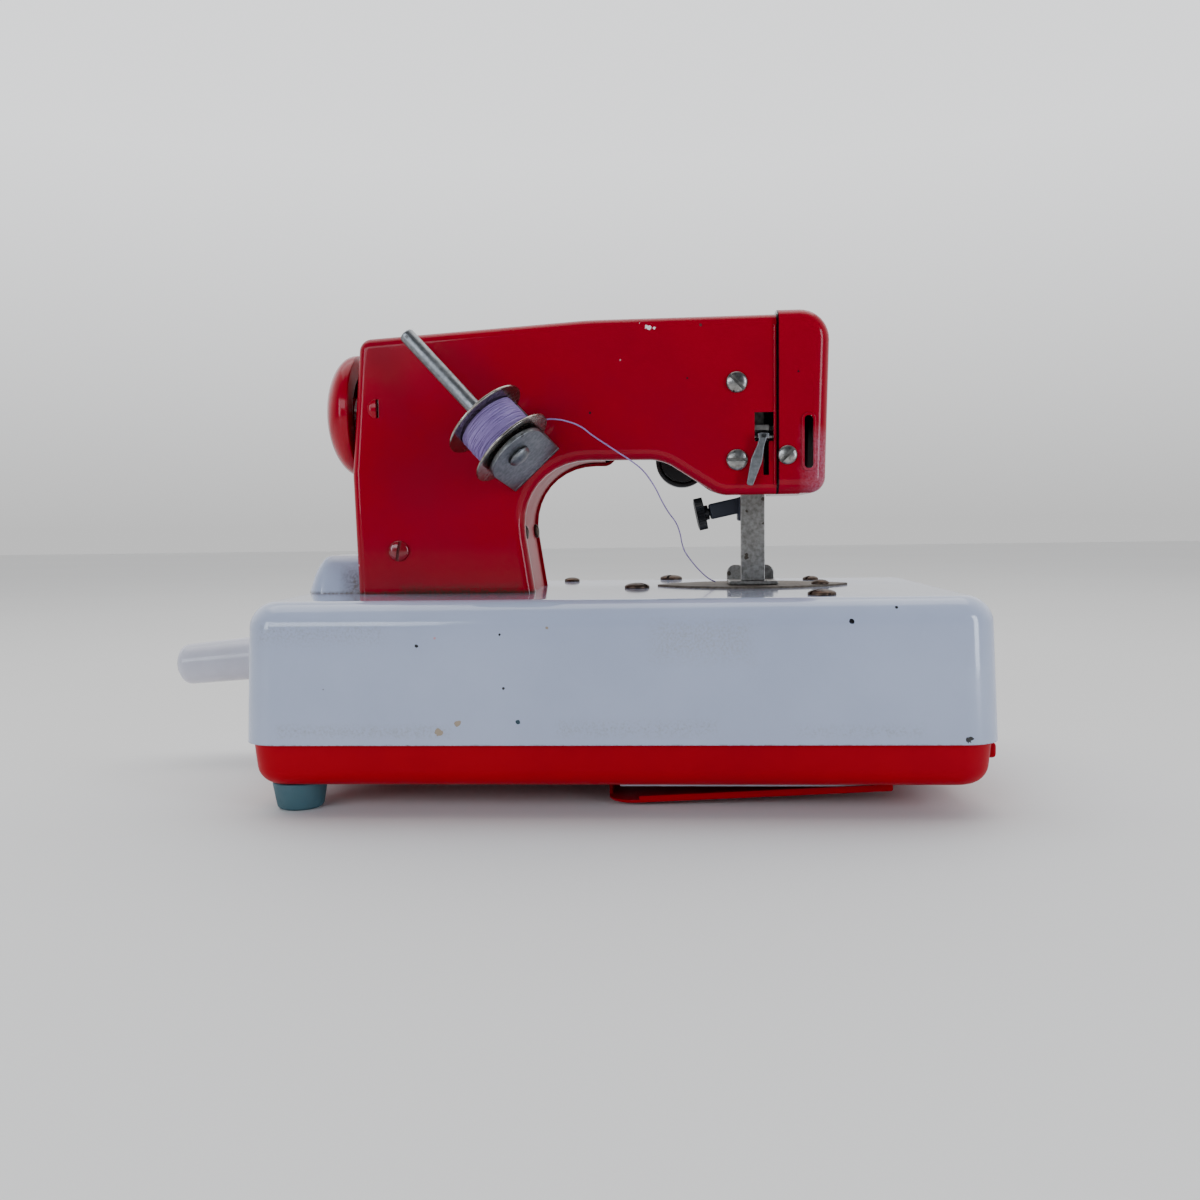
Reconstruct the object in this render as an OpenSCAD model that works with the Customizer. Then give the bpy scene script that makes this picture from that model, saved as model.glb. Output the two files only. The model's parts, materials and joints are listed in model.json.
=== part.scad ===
// Toy sewing machine: sheet-metal base and head, hand crank, battery motor, needle and presser.
// Millimetres. +X runs along the arm to the needle, +Y away from the viewer of the photo, +Z up.
// The origin is on the table, under the middle of the whole machine.

/* [Base] */
// Length of the white casing at its lower rim
base_length = 200; // [196:1:210]
// Depth of the white casing at its lower rim
base_depth = 110; // [108:1:118]
// Height of the bed above the table
bed_height = 57; // [56:0.5:60]
// Height of the seam between casing and pan
seam_height = 19.4; // [17:0.2:22]
// Height of the pan's underside above the table
pan_height = 7.5; // [7:0.25:8.5]
// Radius of the upright corners
corner_radius = 10; // [9.5:0.5:13]
// Radius rolled along the edge of the bed
bed_edge_radius = 7; // [4:0.5:8]
// How far the casing's walls lean out from bed to rim
casing_flare = 1.4; // [0.4:0.1:2]
// Radius rolled along the pan's lower edge
pan_edge_radius = 5; // [3:0.5:6]
// How far the pan's walls lean in from rim to floor
pan_taper = 1.2; // [0.4:0.1:2]
// How far the pan's rim stands up inside the casing
rim_overlap = 3; // [2:0.5:5]
// Thickness of the sheet metal of casing and pan
sheet = 1; // [0.8:0.1:1.1]

/* [Feet] */
// Diameter of a rubber foot where it meets the pan
foot_diameter = 15; // [13:0.5:16]
// Diameter of a rubber foot on the table
foot_sole = 12.4; // [11:0.2:13]
// Distance of the feet's centres from the ends of the base
foot_from_end = 12.5; // [12:0.5:15]
// Distance of the left feet's centres from the long sides
foot_from_side = 13; // [13:0.5:16]

/* [Head] */
// Depth of the head from face to face
head_depth = 40; // [39.5:0.5:42]
// Thickness of the covers' sheet
cover_sheet = 0.9; // [0.8:0.05:0.95]
// Radius of the folds round the covers' faces
fold_radius = 3; // [2.5:0.1:3.2]
// Height of the arm's underside above the bed
throat_height = 38.1; // [37:0.1:38.6]
// Height of the arm's top above the bed at the needle end
arm_height = 78.3; // [77:0.1:80]
// How much lower the arm's top lies at the handwheel end
arm_fall = 4.6; // [3:0.1:5]
// Height of the head's lower edge above the bed at the needle end
nose_height = 27.4; // [27:0.1:28]
// Radius of the arch between column and arm
arch_radius = 18.8; // [14:0.2:20]
// How far the column's throat side leans back
throat_lean = 5.8; // [4:0.1:6]
// Depth of the edge that the covers turn into the throat
throat_fold = 4; // [3.5:0.1:5]

/* [Face cap] */
// Length of the cap over the needle end
cap_length = 14.9; // [14:0.1:15.4]
// Radius of the cap's upper corner
cap_corner = 8.5; // [6:0.1:10]

/* [Drive] */
// Module of all gears
gear_module = 0.8; // [0.79:0.005:0.81]
// Teeth of the gear on the crank shaft
crank_teeth = 44; // [43:1:45]
// Teeth of the pinion that the crank gear turns
pinion_teeth = 12; // [12:1:13]
// Teeth of the two gears that turn at the same speed, in the column
lay_teeth = 36; // [36:1:37]
// Teeth of the idler between them
idler_teeth = 30; // [29:1:31]
// Teeth of the pair that drives the looper
looper_teeth = 15; // [15:1:16]
// Teeth of the motor's pinion
motor_teeth = 12; // [12:1:13]
// Diameter of the main shaft and of the crank shaft
shaft_diameter = 5; // [4:0.1:5.2]
// Distance from the crank shaft to the grip's pin
crank_reach = 22; // [20:0.5:24]
// Length of the crank's grip
grip_length = 41.5; // [36:0.5:44]
// Diameter of the grip at its inner end
grip_diameter = 14.6; // [12:0.2:16]
// Diameter of the handwheel
wheel_diameter = 36.6; // [35:0.2:37.4]
// Width of the handwheel
wheel_width = 9.9; // [9:0.1:10.4]

/* [Needle and presser] */
// Diameter of the needle bar
bar_diameter = 4; // [3.6:0.1:4.2]
// Distance that the needle bar moves up and down
needle_stroke = 12.6; // [10:0.1:13]
// Diameter of the needle
needle_diameter = 1.2; // [0.8:0.1:1.4]
// Width of the presser's flat bar
presser_width = 7.2; // [6:0.1:7.4]
// Distance that the presser lifts
presser_lift = 5; // [4:0.1:5]
// Distance that the feed dog moves to each side
feed_travel = 1.2; // [0.8:0.1:1.2]

/* [Spool and tension] */
// Diameter of the bobbin's flanges
bobbin_diameter = 25; // [22:0.5:26]
// Length of the bobbin over both flanges
bobbin_length = 11.9; // [10.5:0.1:12]
// Diameter of the spool pin
spool_pin_diameter = 4.3; // [4:0.1:4.6]
// Length of the spool pin above its bracket
spool_pin_length = 47; // [42:0.5:50]
// Thickness of the thread
thread_diameter = 0.4; // [0.35:0.01:0.45]
// Diameter of the tension knob
knob_diameter = 17.2; // [15:0.2:18]

/* [Battery] */
// Diameter of a battery cell
cell_diameter = 34.2; // [33:0.1:34.2]
// Length of a battery cell
cell_length = 61.5; // [60:0.1:62]
// Angle at which the battery door hangs open in the photo
door_ajar = 2.8; // [0.5:0.1:2.9]

/* [Fits] */
// Radial clearance of a shaft that turns or slides in its bore
running_fit = 0.05; // [0.02:0.01:0.09]
// Radial clearance of a pin or screw that is fixed in its hole
fixed_fit = 0.02; // [0.01:0.005:0.04]
// Gap between pieces that pass each other
passing_gap = 0.3; // [0.3:0.02:0.4]
// Gap between sheets that lie inside each other
sleeve_gap = 0.15; // [0.1:0.01:0.2]

/* [Hidden] */
$fn = 48;

white = [0.9, 0.91, 0.92];
red = [0.52, 0.01, 0.05];
steel = [0.62, 0.62, 0.6];
dark_steel = [0.3, 0.31, 0.33];
brass = [0.72, 0.55, 0.27];
bronze = [0.3, 0.24, 0.18];
black = [0.06, 0.06, 0.07];
navy = [0.1, 0.12, 0.2];
rubber = [0.1, 0.33, 0.36];
lilac = [0.58, 0.47, 0.74];
nylon = [0.86, 0.85, 0.8];

half_length = base_length / 2;
half_depth = base_depth / 2;
bed_under = bed_height - sheet;
pan_floor = pan_height + sheet;
pan_radius = corner_radius - sheet - passing_gap;
head_half = head_depth / 2;
face_inside = head_half - cover_sheet;
shaft_r = shaft_diameter / 2;
shaft_bore = shaft_r + running_fit;
bush_r = shaft_r + 1.5;
screw_r = 1.5;
screw_hole = screw_r + fixed_fit;
screw_pass = screw_r + 0.1;

// heights of the shafts, from the bed up and down through the gears
lay_height = bed_height + 0.6;
crank_height = lay_height - gear_module * (crank_teeth + pinion_teeth) / 2;
idler_height = lay_height + gear_module * (lay_teeth + idler_teeth) / 2;
main_height = idler_height + gear_module * (idler_teeth + lay_teeth) / 2;
lower_turn = -41.4;
lower_y = gear_module * looper_teeth * cos(lower_turn);
lower_height = lay_height + gear_module * looper_teeth * sin(lower_turn);
motor_turn = 240;
motor_reach = gear_module * (lay_teeth + motor_teeth) / 2;
motor_y = motor_reach * cos(motor_turn);
motor_height = lay_height + motor_reach * sin(motor_turn);
lay_r = 2;
lower_r = 1.5;
crank_plane = -84;
looper_plane = -61.6;
train_plane = -66.5;
train_width = 4;
backlash = 0.1;
pressure = 20;

// the head's outline, seen from the viewer's side
column_left = -76;
column_right = -24.3;
strip_end = -5;
cover_end = 52;
cap_start = 45.6;
cap_end = cap_start + cap_length;
arm_top = bed_height + arm_height;
throat_top = bed_height + throat_height;
nose_low = bed_height + nose_height;
arch_corner = [column_right - throat_lean, throat_top];
brow_corner = [13, throat_top - 0.3];
rear_corners = head_corners([], 0, 0);
far_step = 2.5;
front_corners = head_corners([
    [strip_end + 1, brow_line(strip_end + 1), 2, 3],
    [strip_end + 1 + far_step, brow_line(strip_end + 1 + far_step) + far_step, 2, 3]], far_step, 1.2);
fold_steps = 5;

// the needle's and the presser's places
needle_x = 40;
needle_y = 9;
bar_r = bar_diameter / 2;
bar_bore = bar_r + running_fit;
clamp_low = bed_height + 20;
clamp_high = clamp_low + 7.4;
bar_low = clamp_low + 3.5;
bar_high = bed_height + 74;
needle_r = needle_diameter / 2;
needle_tip = bed_height + 5.5;
needle_throw = needle_stroke / 2;
yoke_height = main_height + needle_throw;
thumb_tilt = 12;
thumb_root = [needle_x - 4, needle_y, clamp_low + 4.7];
frame_near = -face_inside + 0.07;
frame_sheet = 1.5;
plate_thickness = 0.6;
plate_top = bed_height + plate_thickness;
sole_low = plate_top + 0.15;
presser_half = presser_width / 2;
presser_thick = 1.5;
presser_top = bed_height + 55;
shelf_top = bed_height + 69;
shelf_low = bed_height + 30;
lifter_y = -16.5;
lifter_height = bed_height + 43.8;
lifter_pin_r = 0.8;
lug_under = lifter_height + 1.9;
take_up_height = bed_height + 48.35;

// the base's openings and fastenings: x, y, head radius, head height, shank length, slot angle
bed_screw_list = [
    [-18.5, 40.5, 2.6, 1.4, 4.5, 20],
    [15.4, 47.1, 3.8, 1.6, 9, 70],
    [4.9, -0.7, 3.8, 1.6, 4.5, -35],
    [61.7, 34.8, 2.6, 1.4, 9, 50],
    [60.3, 0.5, 2.6, 1.4, 4, -10],
    [55.3, -40.2, 3.8, 1.6, 9, 30]];
frame_screw_list = [[-71.8, 9, 0], [-50, 0, frame_sheet]];
foot_list = [
    [-half_length + foot_from_end, half_depth - foot_from_side],
    [-half_length + foot_from_end, -half_depth + foot_from_side],
    [half_length - foot_from_end, 0]];
foot_plug = 3;
plate_centre = [40.3, 7];
plate_half_length = 29.2;
plate_half_width = 17;

// the crank
arm_face = -half_length - 5.5;
arm_thick = 3;
grip_tilt = 5.1;
grip_pin_r = 2.4;
grip_outer = grip_diameter - 1.3;
grip_start = 1.5;
crank_shaft_end = arm_face - 2;

// the battery box and its door
cell_gap = 0.4;
cell_r = cell_diameter / 2;
cell_pitch = cell_diameter + cell_gap;
box_centre = [36.3, -5];
box_half_x = cell_length / 2 + 3.5;
box_half_y = cell_pitch / 2 + cell_r + cell_gap;
box_wall = 1.2;
box_low = pan_height - 2.1;
box_high = box_low + 30.6;
cell_height = box_low + 1.2 + cell_r;
hinge_x = 75.5;
hinge_height = pan_height - 2.7;
hinge_r = 0.8;
hinge_bore = hinge_r + running_fit;
door_free = -2.5;
door_near = -42;
door_far = 32;
door_sheet = 0.9;

// the spool
spool_place = [-26.8, -36.5, bed_height + 39.6];
spool_lean = -43;
spool_tip = -11;
tongue_half = 8.9;
tongue_thick = 1.4;
tongue_bend = -4.5;
tongue_tip = spool_tip + tongue_bend;
dome_seat = tongue_thick / cos(tongue_bend) + 3.3 * tan(-tongue_bend) + 0.02;
rivet_up = 6;
pin_r = spool_pin_diameter / 2;
seat_r = pin_r + 0.4;
bobbin_r = bobbin_diameter / 2;
bobbin_low = 1.1;
flange = 0.7;
pin_step = bobbin_low + bobbin_length + 1.5;
core_r = 8.3;
winding_wire = 0.45;
winding_gap = 0.42;
winding_pitch = winding_wire + winding_gap;
winding_low = bobbin_low + flange + 0.45;
winding_turns = floor((bobbin_length - 2 * flange - 0.9) / winding_pitch * 2) / 2;
winding_steps = 24;
winding_r = core_r + 0.05 + winding_wire / 2;
tension_place = [19.3, bed_height + 39.7];
tension_r = 1.5;
knob_r = knob_diameter / 2;

left_end = arm_face - grip_start - grip_length * cos(grip_tilt) - grip_outer / 2 * sin(grip_tilt);
right_end = half_length + 1.6;
origin_x = -(left_end + right_end) / 2;

function unit(v) = v / norm(v);
function edge_normal(a, b) = let (d = unit(b - a)) [d.y, -d.x];
function inset_corner(p, q, r, d) =
    let (m = edge_normal(p, q), n = edge_normal(q, r)) q - d * (m + n) / (1 + m * n);
function point(c) = [c.x, c.y];
function brow_line(x) = throat_top
    + (brow_corner.y - throat_top) * (x - arch_corner.x) / (brow_corner.x - arch_corner.x);

// one corner of an outline moved in by d and rounded in steps
function corner_points(p, q, r, radius, steps, d) =
    let (
        moved = inset_corner(p, q, r, d),
        into = unit(q - p),
        away = unit(r - q),
        bend = into.x * away.y - into.y * away.x,
        side = bend > 0 ? 1 : -1,
        round = max(bend > 0 ? radius - d : radius + d, 0.25),
        angle = acos(max(-1, min(1, into * away))),
        start = moved - into * round * tan(angle / 2),
        centre = start + side * round * [-into.y, into.x],
        first = atan2(start.y - centre.y, start.x - centre.x))
    steps == 0 ? [moved] :
    [for (k = [0:steps]) centre + round * [cos(first + side * angle * k / steps),
        sin(first + side * angle * k / steps)]];
function outline(corners, d) =
    let (n = len(corners))
    [for (i = [0:n - 1]) each corner_points(point(corners[(i + n - 1) % n]), point(corners[i]),
        point(corners[(i + 1) % n]), corners[i][2], corners[i][3], d)];

// corners of a cover, anticlockwise from the foot of the column: x, z, radius, steps
function head_corners(extra, raise, nose_raise) = concat([
    [column_left, bed_height - 12, 0, 0],
    [column_right + 12 * throat_lean / throat_height, bed_height - 12, 0, 0],
    [arch_corner.x, arch_corner.y, arch_radius, 14]],
    extra, [
    [brow_corner.x, brow_corner.y + raise, 12, 6],
    [29.2, nose_low + nose_raise, 8, 6],
    [cover_end + 12, nose_low + nose_raise, 0, 0],
    [cover_end + 12, arm_top, 0, 0],
    [-8, arm_top - 0.5, 120, 4],
    [column_left + 2, arm_top - arm_fall, 4.2, 5],
    [column_left - 1.2, bed_height + 35, 20, 2]]);
function on_face(ring, y) = [for (q = ring) [q.x, y, q.y]];

// a cover as one skin: inside from the face to the open side, then outside back to the face
function cover_rings(corners) =
    let (inner = fold_radius - cover_sheet, flat = head_half - fold_radius)
    concat(
        [for (k = [fold_steps:-1:0]) let (a = 90 * k / fold_steps)
            on_face(outline(corners, cover_sheet + inner * (1 - cos(a))), -flat - inner * sin(a))],
        [on_face(outline(corners, cover_sheet), -0.05), on_face(outline(corners, 0), -0.05)],
        [for (k = [0:fold_steps]) let (a = 90 * k / fold_steps)
            on_face(outline(corners, fold_radius * (1 - cos(a))), -flat - fold_radius * sin(a))]);
cap_corners = [
    [cap_start - 15, nose_low + 0.35 - sleeve_gap, 0, 0],
    [cap_end - 1.3, nose_low + 0.35 - sleeve_gap, 4.5, 6],
    [cap_end + 0.2, arm_top + sleeve_gap + cover_sheet, cap_corner, 8],
    [cap_start - 15, arm_top + sleeve_gap + cover_sheet, 0, 0]];
function cap_rings(half, edge, d) = concat(
    [for (k = [fold_steps:-1:0]) let (a = 90 * k / fold_steps)
        on_face(outline(cap_corners, d + edge * (1 - cos(a))), half - edge + edge * sin(a))],
    [for (k = [0:fold_steps]) let (a = 90 * k / fold_steps)
        on_face(outline(cap_corners, d + edge * (1 - cos(a))), edge - half - edge * sin(a))]);

// the throat strip's line at a distance d inside the outline, from the bed round the arch
function strip_line(d) =
    let (
        foot = [column_right, bed_height],
        bend = corner_points(foot, arch_corner, brow_corner, arch_radius, 14, d),
        first = bend[0],
        last = bend[len(bend) - 1],
        down = foot - arch_corner,
        along = brow_corner - arch_corner)
    concat([first + down * (bed_height - first.y) / down.y], bend,
        [last + along * (strip_end - last.x) / along.x]);

// a rounded box's profile from the middle of a corner outwards
function casing_profile(d, foot) =
    let (r = bed_edge_radius - d, centre = corner_radius - casing_flare - bed_edge_radius)
    concat([[0, foot], [corner_radius - d, foot]],
        [for (k = [0:8]) [centre + r * cos(90 * k / 8), bed_height - bed_edge_radius + r * sin(90 * k / 8)]],
        [[0, bed_height - d]]);
function pan_profile(d, top) =
    let (r = pan_edge_radius - d, centre = pan_radius - pan_taper - pan_edge_radius)
    concat([[0, pan_height + d]],
        [for (k = [0:8]) [centre + r * sin(90 * k / 8), pan_height + pan_edge_radius - r * cos(90 * k / 8)]],
        [[pan_radius - d, top], [0, top]]);

// gears
function involute(a) = tan(a) * 180 / PI - a;
function tooth_half(teeth, r) =
    let (base = gear_module * teeth / 2 * cos(pressure), a = r > base ? acos(base / r) : 0)
    90 / teeth * (1 - backlash) + involute(pressure) - involute(a);
function mesh_spin(teeth_a, spin_a, teeth_b, turn) =
    turn + 180 + 360 / teeth_b * ((turn - spin_a) * teeth_a / 360 + 0.5);
lay_spin = 95;
idler_spin = mesh_spin(lay_teeth, lay_spin, idler_teeth, 90);
main_spin = mesh_spin(idler_teeth, idler_spin, lay_teeth, 90);
motor_spin = mesh_spin(lay_teeth, lay_spin, motor_teeth, motor_turn);
crank_spin = mesh_spin(pinion_teeth, 270, crank_teeth, 270);
looper_spin = mesh_spin(looper_teeth, lower_turn, looper_teeth, lower_turn);

// the hanging thread's line, from the bobbin to the needle plate
thread_line = [
    [-24.4, -28.5, 45.4], [-21.7, -27.3, 47.5], [-19.4, -27, 48.9], [-16.5, -26.8, 49],
    [-13.7, -26.4, 48.5], [-9.8, -25.6, 47], [-6.6, -24.8, 44.6], [-3.2, -24, 42.3],
    [0.4, -23.2, 39.9], [4, -22.4, 37.5], [7.3, -19.5, 34.9], [9.5, -17, 32.1],
    [11.2, -14.5, 29.3], [12.6, -12, 26.4], [14.6, -9, 22.9], [16.9, -6, 19.6],
    [18.1, -3.5, 16.3], [18.7, -1.5, 13.3], [19.6, 0, 10.8], [21.5, 2, 8],
    [24.2, 4.2, 4.8], [27.1, 6, 2.2], [29, 7, 1.2]];
thread_steps = 3;
function between(a, b, c, d, t) =
    0.5 * (2 * b + (c - a) * t + (2 * a - 5 * b + 4 * c - d) * t * t + (3 * b - a - 3 * c + d) * t * t * t);
thread_last = len(thread_line) - 1;
thread_path = concat(
    [for (i = [0:thread_last - 1], k = [0:thread_steps - 1])
        between(thread_line[max(i - 1, 0)], thread_line[i], thread_line[i + 1],
            thread_line[min(i + 2, thread_last)], k / thread_steps)],
    [thread_line[thread_last]]);
function swept_ring(path, i, r, sides) =
    let (
        along = unit(path[min(i + 1, len(path) - 1)] - path[max(i - 1, 0)]),
        a = unit(cross(along, [0, 1, 0])),
        b = cross(along, a))
    [for (k = [0:sides - 1]) path[i] + r * (a * cos(360 * k / sides) + b * sin(360 * k / sides))];

// the winding on the bobbin, and its least gap to itself
winding_count = winding_turns * winding_steps;
function winding_point(i) =
    let (a = 360 * i / winding_steps)
    [winding_r * cos(a), winding_r * sin(a), winding_low + winding_pitch * i / winding_steps];
function winding_ring(i) =
    let (c = winding_point(i), a = 360 * i / winding_steps, out = [cos(a), sin(a), 0])
    [for (k = [0:5]) c + winding_wire / 2 * ([0, 0, cos(60 * k)] + out * sin(60 * k))];
winding_least = min([for (i = [0:winding_count - winding_steps], j = [i + 12:min(i + 36, winding_count)])
    norm(winding_point(i) - winding_point(j))]) - winding_wire;
echo(winding_least_gap = winding_least);

module placed() {
    translate([origin_x, 0, 0]) children();
}

module skinned(rings) {
    count = len(rings[0]);
    last = (len(rings) - 1) * count;
    polyhedron(
        points = [for (ring = rings) each ring],
        faces = concat(
            [[for (i = [0:count - 1]) i]],
            [[for (i = [count - 1:-1:0]) last + i]],
            [for (k = [0:len(rings) - 2], i = [0:count - 1]) let (j = (i + 1) % count)
                [k * count + i, (k + 1) * count + i, (k + 1) * count + j]],
            [for (k = [0:len(rings) - 2], i = [0:count - 1]) let (j = (i + 1) % count)
                [k * count + i, (k + 1) * count + j, k * count + j]]));
}

module block(low, high) {
    translate(low) cube(high - low);
}

module along_x(x, y, z) {
    translate([x, y, z]) rotate([90, 0, 90]) children();
}

module rod_x(r, x0, x1, y, z) {
    translate([x0, y, z]) rotate([0, 90, 0]) cylinder(r = r, h = x1 - x0);
}

module rod_y(r, y0, y1, x, z) {
    translate([x, y0, z]) rotate([-90, 0, 0]) cylinder(r = r, h = y1 - y0);
}

module rod_z(r, z0, z1, x, y) {
    translate([x, y, z0]) cylinder(r = r, h = z1 - z0);
}

module rounded_body(profile) {
    block([-half_length + corner_radius, -half_depth + corner_radius, profile[0].y],
        [half_length - corner_radius, half_depth - corner_radius, profile[len(profile) - 1].y]);
    for (k = [0:3]) {
        a = (k % 2 == 0 ? half_length : half_depth) - corner_radius;
        b = (k % 2 == 0 ? half_depth : half_length) - corner_radius;
        rotate(90 * k) {
            translate([a, b, 0]) rotate_extrude(angle = 90) polygon(profile);
            translate([a, 0, 0]) rotate([90, 0, 0]) linear_extrude(2 * b, center = true) polygon(profile);
        }
    }
}

module gear(teeth, spin, width, bore) {
    pitch = gear_module * teeth / 2;
    radii = [pitch - 1.1 * gear_module, pitch - 0.35 * gear_module, pitch, pitch + 0.8 * gear_module];
    linear_extrude(width) difference() {
        polygon([for (t = [0:teeth - 1], side = [-1, 1], k = [0:3])
            let (r = radii[side < 0 ? k : 3 - k], a = spin + 360 * t / teeth + side * tooth_half(teeth, r))
            r * [cos(a), sin(a)]]);
        circle(r = bore);
    }
}

// a screw with its head above the origin and its shank below
module screw(head_r, head_h, shank_r, shank_l, slot) {
    difference() {
        rotate_extrude() polygon(concat(
            [[0, -shank_l], [shank_r - 0.3, -shank_l], [shank_r, -shank_l + 0.3], [shank_r, 0],
                [head_r, 0], [head_r, head_h * 0.35]],
            [for (k = [1:5]) [head_r * cos(18 * k), head_h * (0.35 + 0.65 * sin(18 * k))]]));
        rotate(slot) translate([-head_r - 1, -0.4, head_h * 0.5]) cube([2 * head_r + 2, 0.8, head_h]);
    }
}

// turns a piece drawn along +Z to stand on the viewer's side or on the far side of the head
module on_near(x, y, z) {
    translate([x, y, z]) rotate([90, 0, 0]) children();
}

module on_far(x, y, z) {
    translate([x, y, z]) rotate([-90, 0, 0]) children();
}

module spooled() {
    translate(spool_place) rotate([0, spool_lean, 0]) rotate([spool_tip, 0, 0]) children();
}

module tongued() {
    translate(spool_place) rotate([0, spool_lean, 0]) rotate([tongue_tip, 0, 0]) children();
}

module gripped() {
    translate([arm_face, crank_reach, crank_height]) rotate([0, -90 - grip_tilt, 0]) children();
}

module thumbed() {
    translate(thumb_root) rotate([0, 180 - thumb_tilt, 0]) children();
}

module door_swung(angle) {
    translate([hinge_x, 0, hinge_height]) rotate([0, -angle, 0]) children();
}

module top_casing() color(white) placed() difference() {
    rounded_body(casing_profile(0, seam_height));
    rounded_body(casing_profile(sheet, seam_height - 1));
    block([-88, -3, bed_under - 1], [-53, 3, bed_height + 1]);
    block([-88, -7, bed_under - 1], [-78, 7, bed_height + 1]);
    block([-67, -16.2, bed_under - 1], [-56.5, 16.2, bed_height + 1]);
    block([33.5, -3, bed_under - 1], [46.5, 21, bed_height + 1]);
    rod_x(4.5, -half_length - 2, -half_length + 6, 0, crank_height);
    for (s = bed_screw_list) rod_z(screw_pass, bed_under - 1, bed_height + 1, s.x, s.y);
    for (s = frame_screw_list) rod_z(screw_pass, bed_under - 1, bed_height + 1, s.x, s.y);
    block([-46.2, half_depth - 6, 33.6], [-33.8, half_depth + 2, 36.4]);
}

module base_pan() color(red) placed() {
    difference() {
        rounded_body(pan_profile(0, seam_height + rim_overlap));
        rounded_body(pan_profile(sheet, seam_height + rim_overlap + 1));
        block([-4.5, door_near + 0.5, pan_height - 1], [73.5, door_far - 0.5, pan_floor + 1]);
        for (f = foot_list) rod_z(foot_plug + fixed_fit, pan_height - 1, pan_floor + 1, f.x, f.y);
    }
    block([half_length - 3, -40, 12.8], [right_end, -33, 17]);
    for (y = [-30, 17]) difference() {
        block([hinge_x - 1.7, y - 2, hinge_height - 0.9], [hinge_x + 1.7, y + 2, pan_height + 0.2]);
        rod_y(hinge_r + fixed_fit, y - 3, y + 3, hinge_x, hinge_height);
    }
}

module rubber_feet() color(rubber) placed() for (f = foot_list) translate([f.x, f.y, 0])
    rotate_extrude() polygon([
        [0, 0], [foot_sole / 2 - 1.2, 0], [foot_sole / 2 - 0.35, 0.35], [foot_sole / 2, 1.2],
        [foot_diameter / 2, pan_height - 0.8], [foot_diameter / 2, pan_height - 0.01],
        [foot_plug, pan_height - 0.01], [foot_plug, pan_floor + 0.02], [foot_plug + 1.2, pan_floor + 0.02],
        [foot_plug + 1, pan_floor + 0.8], [foot_plug - 0.4, pan_floor + 1.5], [0, pan_floor + 1.7]]);

function hump_ring(d, z, reach) = [for (q = outline([
    [-94, 15, 7, 6], [-94, -15, 7, 6], [-70, -15, 0, 0], [-70, 15, 0, 0]], d)) [q.x, q.y, z]];
module gear_cover() color(white) placed() difference() {
    skinned(concat(
        [for (s = [[8, 10.2], [7.4, 9.4], [6, 7.2], [3, 4.4], [1, 0]]) hump_ring(s[0], bed_height + s[1], 0)],
        [for (s = [[0, 0], [2, 5], [4.2, 8.5], [5.4, 10], [6.6, 10.9], [8, 11.2]])
            hump_ring(s[0], bed_height + s[1], 0)]));
    block([-76.6 - 0.01, -20, bed_height - 2], [-60, 20, bed_height + 20]);
}

module cover_cuts() {
    block([-90, -30, bed_height - 20], [80, 30, bed_height + 0.02]);
    block([cover_end, -30, bed_height - 20], [cover_end + 30, 30, arm_top + 20]);
    block([arch_corner.x - 2.5, -head_half + throat_fold, bed_height - 20],
        [cover_end + 20, 1, throat_top + cover_sheet + 1.6]);
    rod_x(bush_r, -84, -70, 0, main_height);
    block([-84, -3.2, bed_height - 2], [-70, 3.2, lay_height + 3.4]);
}

module throat_tab() {
    block([-31.2, -face_inside - 0.05, bed_height + 14], [-29.6, -12, bed_height + 21]);
}

module throat_screwed(y) {
    rise = 17.5;
    translate([column_right - throat_lean * rise / throat_height - strip_inset - 0.02, y, bed_height + rise])
        rotate([0, 90 - atan(throat_lean / throat_height), 0]) children();
}

module throat_tab_hole() {
    throat_screwed(-strip_screw_y) translate([0, 0, -8]) cylinder(r = screw_hole, h = 9);
}

module rear_cover() color(red) placed() difference() {
    union() {
        difference() {
            skinned(cover_rings(rear_corners));
            cover_cuts();
            block([39.2, -head_half - 1, bed_height + 42.4], [45, -face_inside + 1, bed_height + 50.6]);
            block([41.6, -head_half - 1, bed_height + 32.9], [43.2, -face_inside + 1, bed_height + 43]);
            block([-69.2, -head_half - 1, bed_height + 51], [-68.7, -face_inside + 1, bed_height + 56.3]);
        }
        throat_tab();
        intersection() {
            rod_y(2.85, -head_half - 0.7, -head_half + 0.1, -69.2, bed_height + 53.65);
            block([-75, -head_half - 1, bed_height + 50], [-69.2, -head_half + 1, bed_height + 58]);
        }
    }
    throat_tab_hole();
    for (s = arm_screw_list) rod_y(screw_pass, -head_half - 2, -face_inside + 2, s.x, s.y);
    rod_y(screw_pass, -head_half - 2, -face_inside + 2, column_screw_place.x, column_screw_place.y);
    rod_y(screw_hole, -head_half - 2, -face_inside + 2, cap_screw_place.x, cap_screw_place.y);
    tongued() for (x = [-4.5, 4.5]) translate([x, 0, rivet_up]) rotate([-tongue_tip, 0, 0])
        rotate([-90, 0, 0]) cylinder(r = screw_hole, h = 60, center = true);
}

module front_cover() color(red) placed() difference() {
    mirror([0, 1, 0]) union() {
        difference() {
            skinned(cover_rings(front_corners));
            cover_cuts();
        }
        throat_tab();
    }
    mirror([0, 1, 0]) throat_tab_hole();
    rod_y(screw_hole, face_inside - 2, head_half + 2, cap_screw_place.x, cap_screw_place.y);
    rod_y(tension_r + fixed_fit, face_inside - 2, head_half + 2, tension_place.x, tension_place.y);
    for (z = [70, 112]) rod_y(screw_pass, face_inside - 2, head_half + 2, column_screw_place.x, z);
}

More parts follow.
